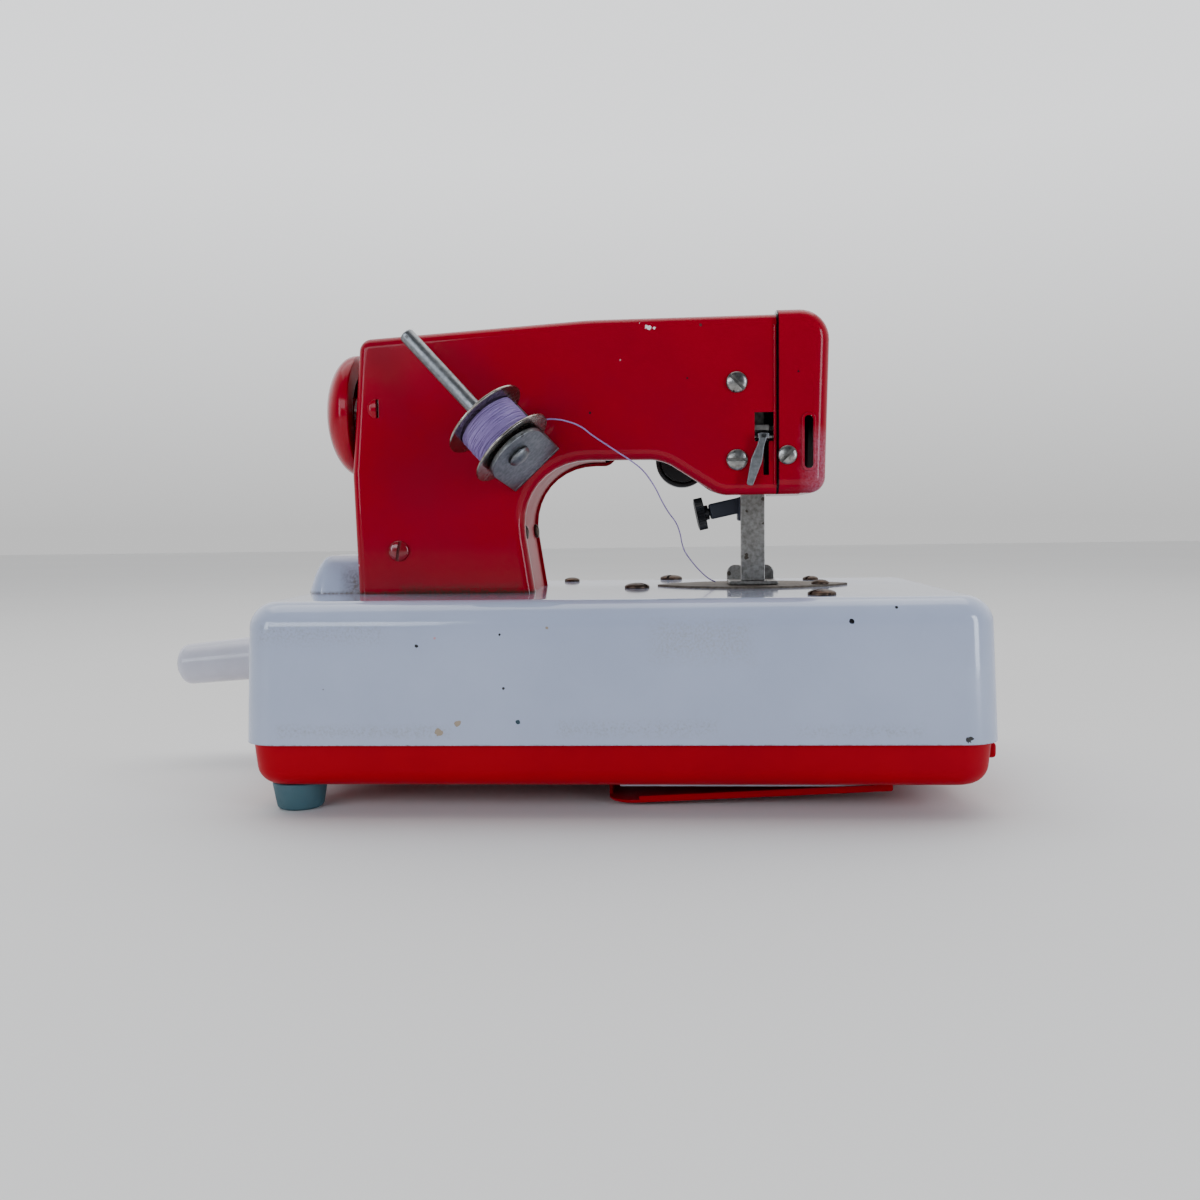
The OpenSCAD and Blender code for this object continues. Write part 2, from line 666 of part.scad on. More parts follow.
module throat_strip() color(red) placed() difference() {
    translate([0, head_half - fold_radius, 0]) rotate([90, 0, 0])
        linear_extrude(2 * (head_half - fold_radius))
        polygon(concat(strip_line(strip_inset), reversed(strip_line(strip_inset + cover_sheet))));
    for (y = [-strip_screw_y, strip_screw_y]) throat_screwed(y)
        translate([0, 0, -5]) cylinder(r = screw_pass, h = 8);
}
function reversed(list) = [for (i = [len(list) - 1:-1:0]) list[i]];

strip_inset = cover_sheet + 0.05;
strip_screw_y = 13.4;
module throat_screws() color(bronze) placed() for (y = [-strip_screw_y, strip_screw_y])
    throat_screwed(y) translate([0, 0, 0.3]) screw(2.2, 1.2, screw_r, 5, 35);

module face_cap() color(red) placed() difference() {
    skinned(cap_rings(head_half + sleeve_gap + cover_sheet, fold_radius + sleeve_gap + cover_sheet, 0));
    skinned(cap_rings(head_half + sleeve_gap, fold_radius + sleeve_gap, cover_sheet));
    block([cap_start - 30, -40, nose_low - 20], [cap_start, 40, arm_top + 20]);
    block([cap_start - 1, -head_half + 1, nose_low - 3], [cap_end - 5.7, head_half - 1, nose_low + 3]);
    block([cap_start - 1, -head_half - 0.8 * sleeve_gap, nose_low - 3],
        [cover_end + passing_gap, head_half - 1, nose_low + fold_radius + 0.4]);
    for (y = [-head_half - 4, head_half - 4])
        block([53, y, bed_height + 34.6], [55.5, y + 8, bed_height + 49.4]);
    rod_y(screw_pass, -head_half - 4, head_half + 4, cap_screw_place.x, cap_screw_place.y);
}

arm_screw_list = [[34.2, bed_height + 59.1, 135], [34.2, bed_height + 37.3, 0]];
column_screw_place = [-63.6, bed_height + 12.6];
cap_screw_place = [48.3, bed_height + 38.4];
cap_half = head_half + sleeve_gap + cover_sheet;
module head_screws() color(dark_steel) placed() {
    for (s = arm_screw_list) on_near(s.x, -head_half, s.y) screw(3, 1.4, screw_r, 3.4, s[2]);
    on_near(cap_screw_place.x, -cap_half, cap_screw_place.y) screw(2.7, 1.3, screw_r, 3.4, 45);
    on_far(cap_screw_place.x, cap_half, cap_screw_place.y) screw(2.7, 1.3, screw_r, 3.4, 20);
}

module column_screw() color(red) placed() {
    on_near(column_screw_place.x, -head_half, column_screw_place.y) screw(3, 1.4, screw_r, 3.4, 80);
    for (z = [70, 112]) on_far(column_screw_place.x, head_half, z) screw(3, 1.4, screw_r, 3.4, 30);
}

module bed_screws() color(bronze) placed() for (k = [0:5])
    let (s = bed_screw_list[k])
    translate([s.x, s.y, k == 4 ? plate_top : bed_height]) screw(s[2], s[3], screw_r, s[4], s[5]);

module needle_plate() color([0.5, 0.45, 0.38]) placed() {
    lens = (plate_half_length * plate_half_length / plate_half_width + plate_half_width) / 2;
    difference() {
        translate([plate_centre.x, plate_centre.y, bed_height])
            linear_extrude(plate_thickness) intersection() {
            translate([0, plate_half_width - lens]) circle(r = lens, $fn = 96);
            translate([0, lens - plate_half_width]) circle(r = lens, $fn = 96);
        }
        for (x = [35.5, 41.9]) block([x, -0.7, bed_height - 1], [x + 2.6, 18.7, plate_top + 1]);
        rod_z(needle_r + 0.6, bed_height - 1, plate_top + 1, needle_x, needle_y);
        rod_z(screw_pass, bed_height - 1, plate_top + 1, bed_screw_list[4].x, bed_screw_list[4].y);
    }
}

frame_left = -69;
frame_right = -56;
module column_frame() color(steel) placed() difference() {
    union() {
        for (x = [frame_left, frame_right]) {
            block([x, frame_near, bed_height + 0.02], [x + frame_sheet, 16, main_height + 11.6]);
            rod_x(2.9, x, x + frame_sheet, 0, lay_height);
        }
        block([frame_left, frame_near, bed_height + 0.02],
            [frame_right + frame_sheet, frame_near + frame_sheet, main_height + 11.6]);
        block([-74.8, 4, bed_height + 0.02], [frame_left + 0.1, 14, bed_height + 0.02 + frame_sheet]);
        difference() {
            block([frame_right, -6, bed_height + 0.02], [-45.5, 6, bed_height + 0.02 + frame_sheet]);
            block([frame_right - 1, -2.6, bed_height - 1], [-52.4, 2.6, bed_height + 5]);
        }
        rod_x(2, frame_left, frame_right + frame_sheet, 0, idler_height);
    }
    rod_x(bush_r + fixed_fit, -80, -40, 0, main_height);
    rod_x(lay_r + running_fit, -80, -53.5, 0, lay_height);
    rod_y(screw_hole, frame_near - 1, frame_near + 3, column_screw_place.x, column_screw_place.y);
    for (s = frame_screw_list) rod_z(screw_hole, bed_height - 1, bed_height + 4, s.x, s.y);
}

module frame_screws() color(bronze) placed() for (s = frame_screw_list)
    translate([s.x, s.y, bed_under - s[2] - (s[2] > 0 ? 0.02 : 0)]) rotate([180, 0, 0])
        screw(2.6, 1.4, screw_r, 4.2 + s[2], 25);

module needle_frame() color(steel) placed() difference() {
    union() {
        block([19, frame_near, bed_height + 38], [37.4, frame_near + frame_sheet, shelf_top + 2]);
        block([30, frame_near, shelf_low], [37.4, frame_near + frame_sheet, shelf_top]);
        block([19, frame_near, shelf_top], [46, 13, shelf_top + 2]);
        block([30, frame_near, shelf_low], [46, 13, shelf_low + 2]);
        block([19, frame_near, bed_height + 38], [21, 8, shelf_top + 1]);
        block([34.5, frame_near, lifter_height - 2.2], [36, lifter_y + 1.6, lifter_height + 1.6]);
        rod_x(lifter_pin_r, 35, 45, lifter_y, lifter_height);
    }
    for (s = arm_screw_list) rod_y(screw_hole, frame_near - 1, frame_near + 2.5, s.x, s.y);
    rod_z(bar_bore, shelf_low - 1, shelf_top + 4, needle_x, needle_y);
    block([needle_x - presser_half - 0.1, -presser_thick / 2 - 0.1, shelf_low - 1],
        [needle_x + presser_half + 0.1, presser_thick / 2 + 0.1, shelf_low + 4]);
    rod_x(bush_r + fixed_fit, 15, 23, 0, main_height);
}

module bush(flange_r, length) {
    difference() {
        union() {
            cylinder(r = bush_r, h = length);
            translate([0, 0, -0.8]) cylinder(r = flange_r, h = 0.8);
        }
        translate([0, 0, -2]) cylinder(r = shaft_bore, h = length + 4);
    }
}

module bushes() color(brass) placed() {
    along_x(frame_left - 0.01, 0, main_height) bush(5.5, frame_sheet);
    along_x(frame_right + frame_sheet + 0.01, 0, main_height) mirror([0, 0, 1]) bush(5.5, frame_sheet);
    along_x(19 - 0.01, 0, main_height) bush(5.5, 2);
    along_x(-half_length - 0.4, 0, crank_height) bush(6.5, 6);
}

module pan_brackets() color(steel) placed() {
    difference() {
        union() {
            block([-75, -8, pan_floor], [-73.5, 8, crank_height + 9.8]);
            block([-75, -8, pan_floor], [-62, 8, pan_floor + frame_sheet]);
        }
        rod_x(shaft_bore, -80, -70, 0, crank_height);
    }
    difference() {
        block([-46, motor_y - 9.5, pan_floor], [-32, motor_y + 9.5, motor_height - 3]);
        rod_x(motor_can_r + fixed_fit, -60, -20, motor_y, motor_height);
        block([-47, motor_y - 8, pan_floor + frame_sheet],
            [-31, motor_y + 8, motor_height - motor_can_r - 2]);
    }
}

motor_can_r = 11;
module motor_can() color(steel) placed() difference() {
    union() {
        rod_x(motor_can_r, -53, -25, motor_y, motor_height);
        rod_x(3.5, -54.5, -52, motor_y, motor_height);
        rod_x(3.5, -26, -23.5, motor_y, motor_height);
    }
    rod_x(1 + running_fit, -60, -28, motor_y, motor_height);
}

module shaft_hangers() color(steel) placed() difference() {
    union() {
        block([-22, lower_y - 3, bed_under - frame_sheet], [-15, 44, bed_under - 0.01]);
        block([-20, lower_y - 3, lower_height - 3], [-17.5, lower_y + 3, bed_under - 0.5]);
        block([0.5, -5, bed_under - frame_sheet], [9.3, lower_y + 3, bed_under - 0.01]);
        block([3.6, lower_y - 3, lower_height - 3], [6.1, lower_y + 3, bed_under - 0.5]);
        block([-52.4, -4, bed_under - frame_sheet], [-46, lower_y + 3, bed_under - 0.01]);
        block([-51.5, lower_y - 3, lower_height - 3], [-49, lower_y + 3, bed_under - 0.5]);
    }
    rod_x(lower_r + running_fit, -60, 20, lower_y, lower_height);
    for (k = [0, 2]) rod_z(screw_hole, bed_under - 5, bed_height, bed_screw_list[k].x, bed_screw_list[k].y);
    rod_z(screw_pass, bed_under - 5, bed_height, frame_screw_list[1].x, frame_screw_list[1].y);
}

module presser_spring() color(steel) placed() difference() {
    rod_z(2.6, presser_top + passing_gap, shelf_top - 0.3, needle_x, 0);
    rod_z(1.7, presser_top - 1, shelf_top + 1, needle_x, 0);
}

module spool_bracket() color(dark_steel) placed() {
    difference() {
        tongued() union() {
            translate([0, 0, -tongue_thick]) cylinder(r = tongue_half, h = tongue_thick);
            block([-tongue_half, 0, -tongue_thick], [tongue_half, 30, 0]);
        }
        spooled() cylinder(r = seat_r + fixed_fit, h = 10, center = true);
        block([-100, -head_half - 0.01, 0], [100, 40, 200]);
    }
    difference() {
        intersection() {
            tongued() block([-tongue_half, 0, -tongue_thick], [tongue_half, 40, 16]);
            block([-100, -head_half - tongue_thick, 0], [100, -head_half - 0.01, 200]);
        }
        tongued() for (x = [-4.5, 4.5]) translate([x, 0, rivet_up]) rotate([-tongue_tip, 0, 0])
            rotate([-90, 0, 0]) cylinder(r = screw_hole, h = 60, center = true);
    }
}

module bracket_rivets() color(dark_steel) placed() tongued() for (x = [-4.5, 4.5])
    translate([x, 0, rivet_up]) rotate([-tongue_tip, 0, 0]) rotate([90, 0, 0])
        translate([0, 0, -(rivet_depth - tongue_thick)]) screw(2.4, 1.1, screw_r, 3.2, 0);
rivet_depth = rivet_reach();
function rivet_reach() =
    let (lifted = spool_place.y + rivet_up * -sin(tongue_tip)) -head_half - lifted;

module spool_pin() color(steel) placed() spooled() rotate_extrude() polygon([
    [0, -dome_seat - 1.6], [1.6, -dome_seat - 1.35], [2.8, -dome_seat - 0.6], [3.3, -dome_seat],
    [seat_r, -dome_seat], [seat_r, pin_step], [pin_r, pin_step],
    [pin_r, spool_pin_length - 0.6], [pin_r - 0.6, spool_pin_length], [0, spool_pin_length]]);

module tension_discs() color(steel) placed() translate([tension_place.x, 0, tension_place.y])
    rotate([-90, 0, 0]) difference() {
        union() {
            translate([0, 0, face_inside - 2.4]) cylinder(r = tension_r, h = 14.2);
            translate([0, 0, head_half + 0.3]) cylinder(r = 7, h = 0.6);
            translate([0, 0, head_half + 1.2]) cylinder(r = 7, h = 0.6);
            translate([0, 0, head_half + 0.01]) cylinder(r = 2.6, h = 3.6);
        }
    }

function post_drop(y) = abs(y) + 2.4 > half_depth - casing_flare - bed_edge_radius ? 1.1 : 0.01;
module battery_box() color(white) placed() difference() {
    union() {
        block([box_centre.x - box_half_x - box_wall, box_centre.y - box_half_y - box_wall, box_low],
            [box_centre.x + box_half_x + box_wall, box_centre.y + box_half_y + box_wall, box_high]);
        for (k = [1, 3, 5]) {
            rod_z(2.4, box_high - 4, bed_under - post_drop(bed_screw_list[k].y), bed_screw_list[k].x,
                bed_screw_list[k].y);
            block([bed_screw_list[k].x - 3, min(bed_screw_list[k].y, 28), box_high - 4],
                [bed_screw_list[k].x + 3, max(bed_screw_list[k].y, -38), box_high]);
        }
    }
    block([box_centre.x - box_half_x, box_centre.y - box_half_y, box_low - 1],
        [box_centre.x + box_half_x, box_centre.y + box_half_y, box_high + 1]);
    for (k = [1, 3, 5])
        rod_z(screw_hole, bed_under - 12, bed_height, bed_screw_list[k].x, bed_screw_list[k].y);
}

module battery_contacts() color(brass) placed() for (side = [-1, 1], cell = [-1, 1])
    translate([box_centre.x + side * box_half_x, box_centre.y + cell * cell_pitch / 2, cell_height])
        mirror([side > 0 ? 1 : 0, 0, 0]) {
            block([0.01, -8, -8], [0.6, 8, 8]);
            rod_x(5, 0.5, box_half_x - cell_length / 2 - 0.05, 0, 0);
        }

module batteries() color(navy) placed() for (cell = [-1, 1])
    rod_x(cell_r, box_centre.x - cell_length / 2, box_centre.x + cell_length / 2,
        box_centre.y + cell * cell_pitch / 2, cell_height);

module door_pin() color(steel) placed() rod_y(hinge_r, -33, 20, hinge_x, hinge_height);

module thread() color(lilac) placed() translate([0, 0, bed_height])
    skinned([for (i = [0:len(thread_path) - 1]) swept_ring(thread_path, i, thread_diameter / 2, 8)]);

module main_shaft() color(steel) placed() rod_x(shaft_r, -87.2, 28, 0, main_height);

module handwheel() color(red) placed() along_x(-78.3 - wheel_width, 0, main_height) rotate_extrude() {
    r = wheel_diameter / 2;
    inner = r - 1.6;
    dome = wheel_width - 1.1;
    polygon(concat(
        [[shaft_r + fixed_fit, 0.1]],
        [for (a = [10:8:90]) [r * sin(a), dome - dome * cos(a)]],
        [[r, wheel_width - 0.3], [r - 0.3, wheel_width], [12, wheel_width], [12, wheel_width - 1.2],
            [inner, wheel_width - 1.2]],
        [for (a = [84:-8:28]) [inner * sin(a), dome - (dome - 1.6) * cos(a)]],
        [[5.5, 2.05], [5.5, wheel_width - 1.5], [shaft_r + fixed_fit, wheel_width - 1.5]]));
}

module main_gear() color(nylon) placed() along_x(train_plane, 0, main_height) {
    gear(lay_teeth, main_spin, train_width, shaft_r + fixed_fit);
}

module needle_crank() color(steel) placed() difference() {
    union() {
        rod_x(9.5, 25, 28, 0, main_height);
        rod_x(1.5, 27.5, 30.4, 0, main_height + needle_throw);
    }
    rod_x(shaft_r + fixed_fit, 20, 40, 0, main_height);
}

module lay_shaft() color(steel) placed() rod_x(lay_r, -87, -53, 0, lay_height);

module lay_gears() color(nylon) placed() {
    along_x(train_plane, 0, lay_height) gear(lay_teeth, lay_spin, train_width, lay_r + fixed_fit);
    along_x(crank_plane, 0, lay_height) gear(pinion_teeth, 270, 5, lay_r + fixed_fit);
    along_x(looper_plane, 0, lay_height) gear(looper_teeth, lower_turn, 3.5, lay_r + fixed_fit);
}

module idler_gear() color(nylon) placed() along_x(train_plane, 0, idler_height)
    gear(idler_teeth, idler_spin, train_width, 2 + running_fit);

module crank_shaft() color(steel) placed() rod_x(shaft_r, crank_shaft_end, -72, 0, crank_height);

module crank_gear() color(nylon) placed() along_x(crank_plane, 0, crank_height)
    gear(crank_teeth, crank_spin, 5, shaft_r + fixed_fit);

module crank_arm() color(steel) placed() difference() {
    union() {
        rod_x(5.5, arm_face, arm_face + arm_thick, 0, crank_height);
        rod_x(5, arm_face, arm_face + arm_thick + 1, 0, crank_height);
        rod_x(4.5, arm_face, arm_face + arm_thick, crank_reach, crank_height);
        block([arm_face, 0, crank_height - 4.5], [arm_face + arm_thick, crank_reach, crank_height + 4.5]);
        gripped() translate([0, 0, -1]) cylinder(r = grip_pin_r, h = grip_length + 1 - 2);
        gripped() translate([0, 0, grip_length - 3]) cylinder(r = grip_pin_r + 1.2, h = 1.4);
    }
    rod_x(shaft_r + fixed_fit, arm_face - 5, arm_face + arm_thick + 5, 0, crank_height);
}

module crank_grip() color(nylon) placed() gripped() difference() {
    translate([0, 0, grip_start]) rotate_extrude() polygon(concat(
        [[grip_pin_r + running_fit, 0], [grip_diameter / 2 - 1, 0], [grip_diameter / 2, 1]],
        [for (k = [0:6]) [grip_outer / 2 - 3 + 3 * cos(15 * k), grip_length - 3 + 3 * sin(15 * k)]],
        [[grip_pin_r + 1.2 + passing_gap, grip_length],
            [grip_pin_r + 1.2 + passing_gap, grip_length - grip_start - 3 - passing_gap],
            [grip_pin_r + running_fit, grip_length - grip_start - 3 - passing_gap]]));
}

module lower_shaft() color(steel) placed() rod_x(lower_r, -62, 34, lower_y, lower_height);

module looper_set() color(steel) placed() {
    along_x(looper_plane, lower_y, lower_height) gear(looper_teeth, looper_spin, 3.5, lower_r + fixed_fit);
    along_x(22, lower_y, lower_height) linear_extrude(3) difference() {
        translate([0, 1.2]) circle(r = 3.5);
        circle(r = lower_r + fixed_fit);
    }
    difference() {
        union() {
            rod_x(3.5, 31, 36, lower_y, lower_height);
            intersection() {
                along_x(35, lower_y, lower_height) linear_extrude(3.8) difference() {
                    circle(r = 4.5);
                    translate([-0.6, 0.6]) circle(r = 3.2);
                }
                block([30, lower_y - 6, lower_height - 6], [40, lower_y + 6, lower_height + 1.5]);
            }
        }
        rod_x(lower_r + fixed_fit, 30, 34.2, lower_y, lower_height);
    }
}

module motor_rotor() color(steel) placed() {
    rod_x(1, -67, -30, motor_y, motor_height);
    along_x(train_plane, motor_y, motor_height) gear(motor_teeth, motor_spin, train_width, 0.9);
}

module needle_bar() color(steel) placed() difference() {
    union() {
        rod_z(bar_r, bar_low, bar_high, needle_x, needle_y);
        block([32, needle_y - 2.5, yoke_height - 2.7], [42, needle_y + 2.5, yoke_height + 2.8]);
        block([30.8, -needle_y, yoke_height - 3.2], [33.2, needle_y + 2.5, yoke_height + 3.2]);
    }
    block([30, -7.8, yoke_height - 1.8], [34, 6, yoke_height + 1.8]);
}

module needle_clamp() color(navy) placed() difference() {
    union() {
        block([needle_x - 4, needle_y - 4, clamp_low], [needle_x + 4, needle_y + 4, clamp_high]);
        thumbed() block([-1.5, -3, -2.4], [8.8, 3, 2.4]);
    }
    rod_z(bar_r + fixed_fit, bar_low - 0.01, clamp_high + 1, needle_x, needle_y);
    rod_z(needle_r + fixed_fit, clamp_low - 2, clamp_high, needle_x, needle_y);
    thumbed() rod_x(1.2 + running_fit, 2, 12, 0, 0);
}

module needle() color(steel) placed() translate([needle_x, needle_y, needle_tip]) rotate_extrude()
    polygon([[0, 0], [needle_r * 0.4, 1.4], [needle_r * 0.8, 4], [needle_r * 0.8, 9], [needle_r, 10],
        [needle_r, bar_low - needle_tip - 0.1], [0, bar_low - needle_tip - 0.1]]);

module take_up_lever() color(steel) placed() difference() {
    union() {
        block([needle_x - 3.6, needle_y - 3.6, take_up_height - 0.7],
            [needle_x + 3.6, needle_y + 3.6, take_up_height + 0.7]);
        block([needle_x, needle_y - 0.9, take_up_height - 0.7], [55, needle_y + 0.9, take_up_height + 0.7]);
        block([53.4, needle_y - 0.9, take_up_height - 0.7], [55, 25, take_up_height + 0.7]);
        rod_z(2.2, take_up_height - 0.7, take_up_height + 0.7, 54.2, 26.2);
    }
    rod_z(bar_r + fixed_fit, take_up_height - 2, take_up_height + 2, needle_x, needle_y);
    rod_z(1, take_up_height - 2, take_up_height + 2, 54.2, 26.2);
}

module thumb_screw() color(black) placed() thumbed() {
    rod_x(1.2, 2.6, 9.5, 0, 0);
    rod_x(2.3, 9.1, 10.4, 0, 0);
    along_x(10.3, 0, 0) linear_extrude(2.6) polygon([for (k = [0:71])
        (k % 2 == 0 ? 5 : 4.7) * [cos(5 * k), sin(5 * k)]]);
}

module presser_bar() color(steel) placed() {
    block([needle_x - presser_half, -presser_thick / 2, sole_low + 1.15],
        [needle_x + presser_half, presser_thick / 2, presser_top]);
    block([needle_x - presser_half, frame_near + frame_sheet + passing_gap, lug_under],
        [needle_x + presser_half, presser_thick / 2, lug_under + 1.6]);
}

module presser_foot() color(steel) placed() {
    difference() {
        block([32.8, -3, sole_low], [47.4, 12.3, sole_low + 1.13]);
        block([needle_x - 1.4, 5.5, sole_low - 1], [needle_x + 1.4, 20, sole_low + 3]);
    }
    for (x = [32.8, needle_x + 1.4]) intersection() {
        block([x, 11.3, sole_low], [x + 5.8, 12.5, sole_low + 5.6]);
        rod_y(2.9 + 2.7, 11, 14, x + 2.9, sole_low);
    }
}

module lifter_lever() color(dark_steel) placed() difference() {
    union() {
        rod_x(1.6, 40, 43, lifter_y, lifter_height);
        block([40, -22.6, lifter_height - 0.8], [43, lifter_y, lifter_height + 0.8]);
        translate([41.5, -22.6, lifter_height]) rotate([0, 16, 0]) {
            translate([0, 1.2, 0]) rotate([90, 0, 0]) linear_extrude(1.2) polygon([
                [-1, 0.8], [-1, -4.5], [-1.6, -7.5], [-0.9, -14], [-0.5, -14.5],
                [0.5, -14.5], [0.9, -14], [1.6, -7.5], [1, -4.5], [1, 0.8]]);
        }
    }
    rod_x(lifter_pin_r + running_fit, 30, 50, lifter_y, lifter_height);
}

module tension_knob() color(black) placed() translate([tension_place.x, head_half + 4.5, tension_place.y])
    rotate([-90, 0, 0]) difference() {
        union() {
            cylinder(r = knob_r, h = 8);
            translate([0, 0, 7.9]) cylinder(r = knob_r - 1, h = 0.9);
        }
        translate([0, 0, -1]) cylinder(r = tension_r + running_fit, h = 8);
        translate([0, 0, -1]) difference() {
            cylinder(r = knob_r - 1.4, h = 7);
            cylinder(r = tension_r + 1.6, h = 8);
        }
    }

module bobbin() color(steel) placed() spooled() rotate_extrude() polygon([
    [seat_r + running_fit, bobbin_low], [bobbin_r, bobbin_low], [bobbin_r, bobbin_low + flange],
    [seat_r + 1.2, bobbin_low + flange], [seat_r + 1.2, bobbin_low + bobbin_length - flange],
    [bobbin_r, bobbin_low + bobbin_length - flange], [bobbin_r, bobbin_low + bobbin_length],
    [seat_r + running_fit, bobbin_low + bobbin_length]]);

module thread_winding() color(lilac) placed() spooled() {
    difference() {
        translate([0, 0, bobbin_low + flange + 0.02])
            cylinder(r = core_r, h = bobbin_length - 2 * flange - 0.04);
        translate([0, 0, -1]) cylinder(r = seat_r + 1.2 + fixed_fit, h = 30);
    }
    skinned([for (i = [0:winding_count]) winding_ring(i)]);
}

module battery_door() color(red) placed() door_swung(door_ajar)
    translate([-hinge_x, 0, -hinge_height]) difference() {
    union() {
        block([door_free, door_near, hinge_height - 0.5], [74.4, door_far, hinge_height - 0.5 + door_sheet]);
        block([door_free, door_near + 3, hinge_height - 0.5],
            [door_free + door_sheet, door_far - 3, hinge_height + 3.6]);
        rod_y(1.7, -27, 14, hinge_x, hinge_height);
        block([73, -27, hinge_height - 0.5], [hinge_x, 14, hinge_height - 0.5 + door_sheet]);
    }
    rod_y(hinge_bore, -50, 50, hinge_x, hinge_height);
    for (y = [-30, 17]) block([72.8, y - 3, 0], [80, y + 3, 10]);
}

module feed_dog() color(steel) placed() {
    for (x = [35.8, 42.2]) {
        block([x, 1, bed_height - 2.2], [x + 2, 17, bed_height + 0.2]);
        for (y = [1:2:15]) along_x(x, y, bed_height + 0.2) linear_extrude(2)
            polygon([[0, 0], [2, 0], [0.3, 0.35]]);
    }
    difference() {
        block([35.8, 5, bed_height - 2.2], [44.2, 13, bed_height - 1.3]);
        block([needle_x - 1.4, needle_y - feed_travel - 1.3, bed_height - 3],
            [needle_x + 1.4, needle_y + feed_travel + 1.3, bed_height]);
    }
    block([22.5, 7, bed_height - 2.2], [36, 11, bed_height - 1.3]);
    block([22.5, lower_y - 8.2, bed_height - 2.2], [24.5, lower_y + 8.2, bed_height - 1.3]);
    for (y = [lower_y - 8.2, lower_y + 6.4]) block([22.5, y, 46], [24.5, y + 1.8, bed_height - 2]);
}

module switch_slider() color(black) placed() {
    wall_out = half_depth + 0.6;
    block([-43, half_depth - 4, 33.9], [-37, wall_out, 36.1]);
    block([-47.5, half_depth - 5.2, 31.5], [-32.5, half_depth - 3.2, 38.5]);
}

top_casing();
base_pan();
rubber_feet();
gear_cover();
rear_cover();
front_cover();
throat_strip();
throat_screws();
face_cap();
head_screws();
column_screw();
bed_screws();
needle_plate();
column_frame();
frame_screws();
needle_frame();
bushes();
pan_brackets();
motor_can();
shaft_hangers();
presser_spring();
spool_bracket();
bracket_rivets();
spool_pin();
tension_discs();
battery_box();
battery_contacts();
batteries();
door_pin();
thread();
main_shaft();
handwheel();
main_gear();
needle_crank();
lay_shaft();
lay_gears();
idler_gear();
crank_shaft();
crank_arm();
crank_gear();
crank_grip();
lower_shaft();
looper_set();
motor_rotor();
needle_bar();
needle_clamp();
needle();
take_up_lever();
thumb_screw();
presser_bar();
presser_foot();
lifter_lever();
tension_knob();
bobbin();
thread_winding();
battery_door();
feed_dog();
switch_slider();
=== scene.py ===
import json
import math
import bmesh
import bpy
from mathutils import Matrix, Vector, noise


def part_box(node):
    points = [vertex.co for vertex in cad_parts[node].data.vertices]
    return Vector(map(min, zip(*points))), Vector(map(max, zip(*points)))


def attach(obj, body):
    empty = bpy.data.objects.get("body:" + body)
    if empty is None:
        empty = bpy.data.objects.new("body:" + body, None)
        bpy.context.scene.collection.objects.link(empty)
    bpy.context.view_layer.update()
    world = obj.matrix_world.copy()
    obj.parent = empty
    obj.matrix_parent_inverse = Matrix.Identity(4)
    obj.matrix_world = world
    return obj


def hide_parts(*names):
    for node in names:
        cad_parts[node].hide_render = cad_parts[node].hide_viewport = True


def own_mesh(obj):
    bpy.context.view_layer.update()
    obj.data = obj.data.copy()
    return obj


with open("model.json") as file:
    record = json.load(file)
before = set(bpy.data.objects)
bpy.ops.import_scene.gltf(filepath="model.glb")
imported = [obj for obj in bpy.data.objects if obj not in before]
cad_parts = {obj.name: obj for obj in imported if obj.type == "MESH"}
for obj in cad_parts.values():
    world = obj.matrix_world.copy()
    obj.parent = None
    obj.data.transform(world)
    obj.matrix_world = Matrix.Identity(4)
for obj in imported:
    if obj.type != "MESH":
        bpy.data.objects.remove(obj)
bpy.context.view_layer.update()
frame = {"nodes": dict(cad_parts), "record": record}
low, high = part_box("top_casing")
originX = (low.x + high.x) * 500  # the base's middle in the row frame, in millimetres
toRow = Matrix.Scale(0.001, 4) @ Matrix.Translation((originX, 0, 0))
bed = 57.0  # the bed's height above the table
mainHeight = 110.4  # the main shaft's height
crankHeight = 35.2  # the crank shaft's height
print("frame loaded, base middle at", round(originX, 3))


def rowPoint(x, y, z):
    return tuple(toRow @ Vector((x, y, z)))


def turned(angle, axis):
    return Matrix.Rotation(math.radians(angle), 4, axis)


# camera at the photograph's view, in the machine's own millimetres
view = {"place": (14.6, -338.7, 77.1), "yaw": -3.57, "pitch": 4.0, "roll": 0.77, "lens": 33.3, "sensor": 36.0}


def aimCamera():
    yaw, pitch, roll = (math.radians(view[k]) for k in ("yaw", "pitch", "roll"))
    right = Vector((math.cos(yaw), -math.sin(yaw), 0))
    ahead = Vector((math.sin(yaw), math.cos(yaw), 0))
    up = Vector((0, 0, 1)) * math.cos(pitch) + ahead * math.sin(pitch)
    ahead = ahead * math.cos(pitch) - Vector((0, 0, 1)) * math.sin(pitch)
    tiltedRight = right * math.cos(roll) - up * math.sin(roll)
    tiltedUp = right * math.sin(roll) + up * math.cos(roll)
    data = bpy.data.cameras.new("photoCamera")
    data.lens, data.sensor_width, data.clip_start = view["lens"], view["sensor"], 0.01
    eye = bpy.data.objects.new("photoCamera", data)
    bpy.context.scene.collection.objects.link(eye)
    turn = Matrix((tiltedRight, tiltedUp, -ahead)).transposed().to_4x4()
    eye.matrix_world = Matrix.Translation(toRow @ Vector(view["place"])) @ turn
    bpy.context.scene.camera = eye


aimCamera()


# small helpers for shader nodes
def feed(tree, socket, value):
    if isinstance(value, bpy.types.NodeSocket):
        tree.links.new(value, socket)
    else:
        socket.default_value = value


def addNode(tree, kind, values=None, **settings):
    made = tree.nodes.new(kind)
    for key, value in settings.items():
        setattr(made, key, value)
    for key, value in (values or {}).items():
        feed(tree, made.inputs[key], value)
    return made


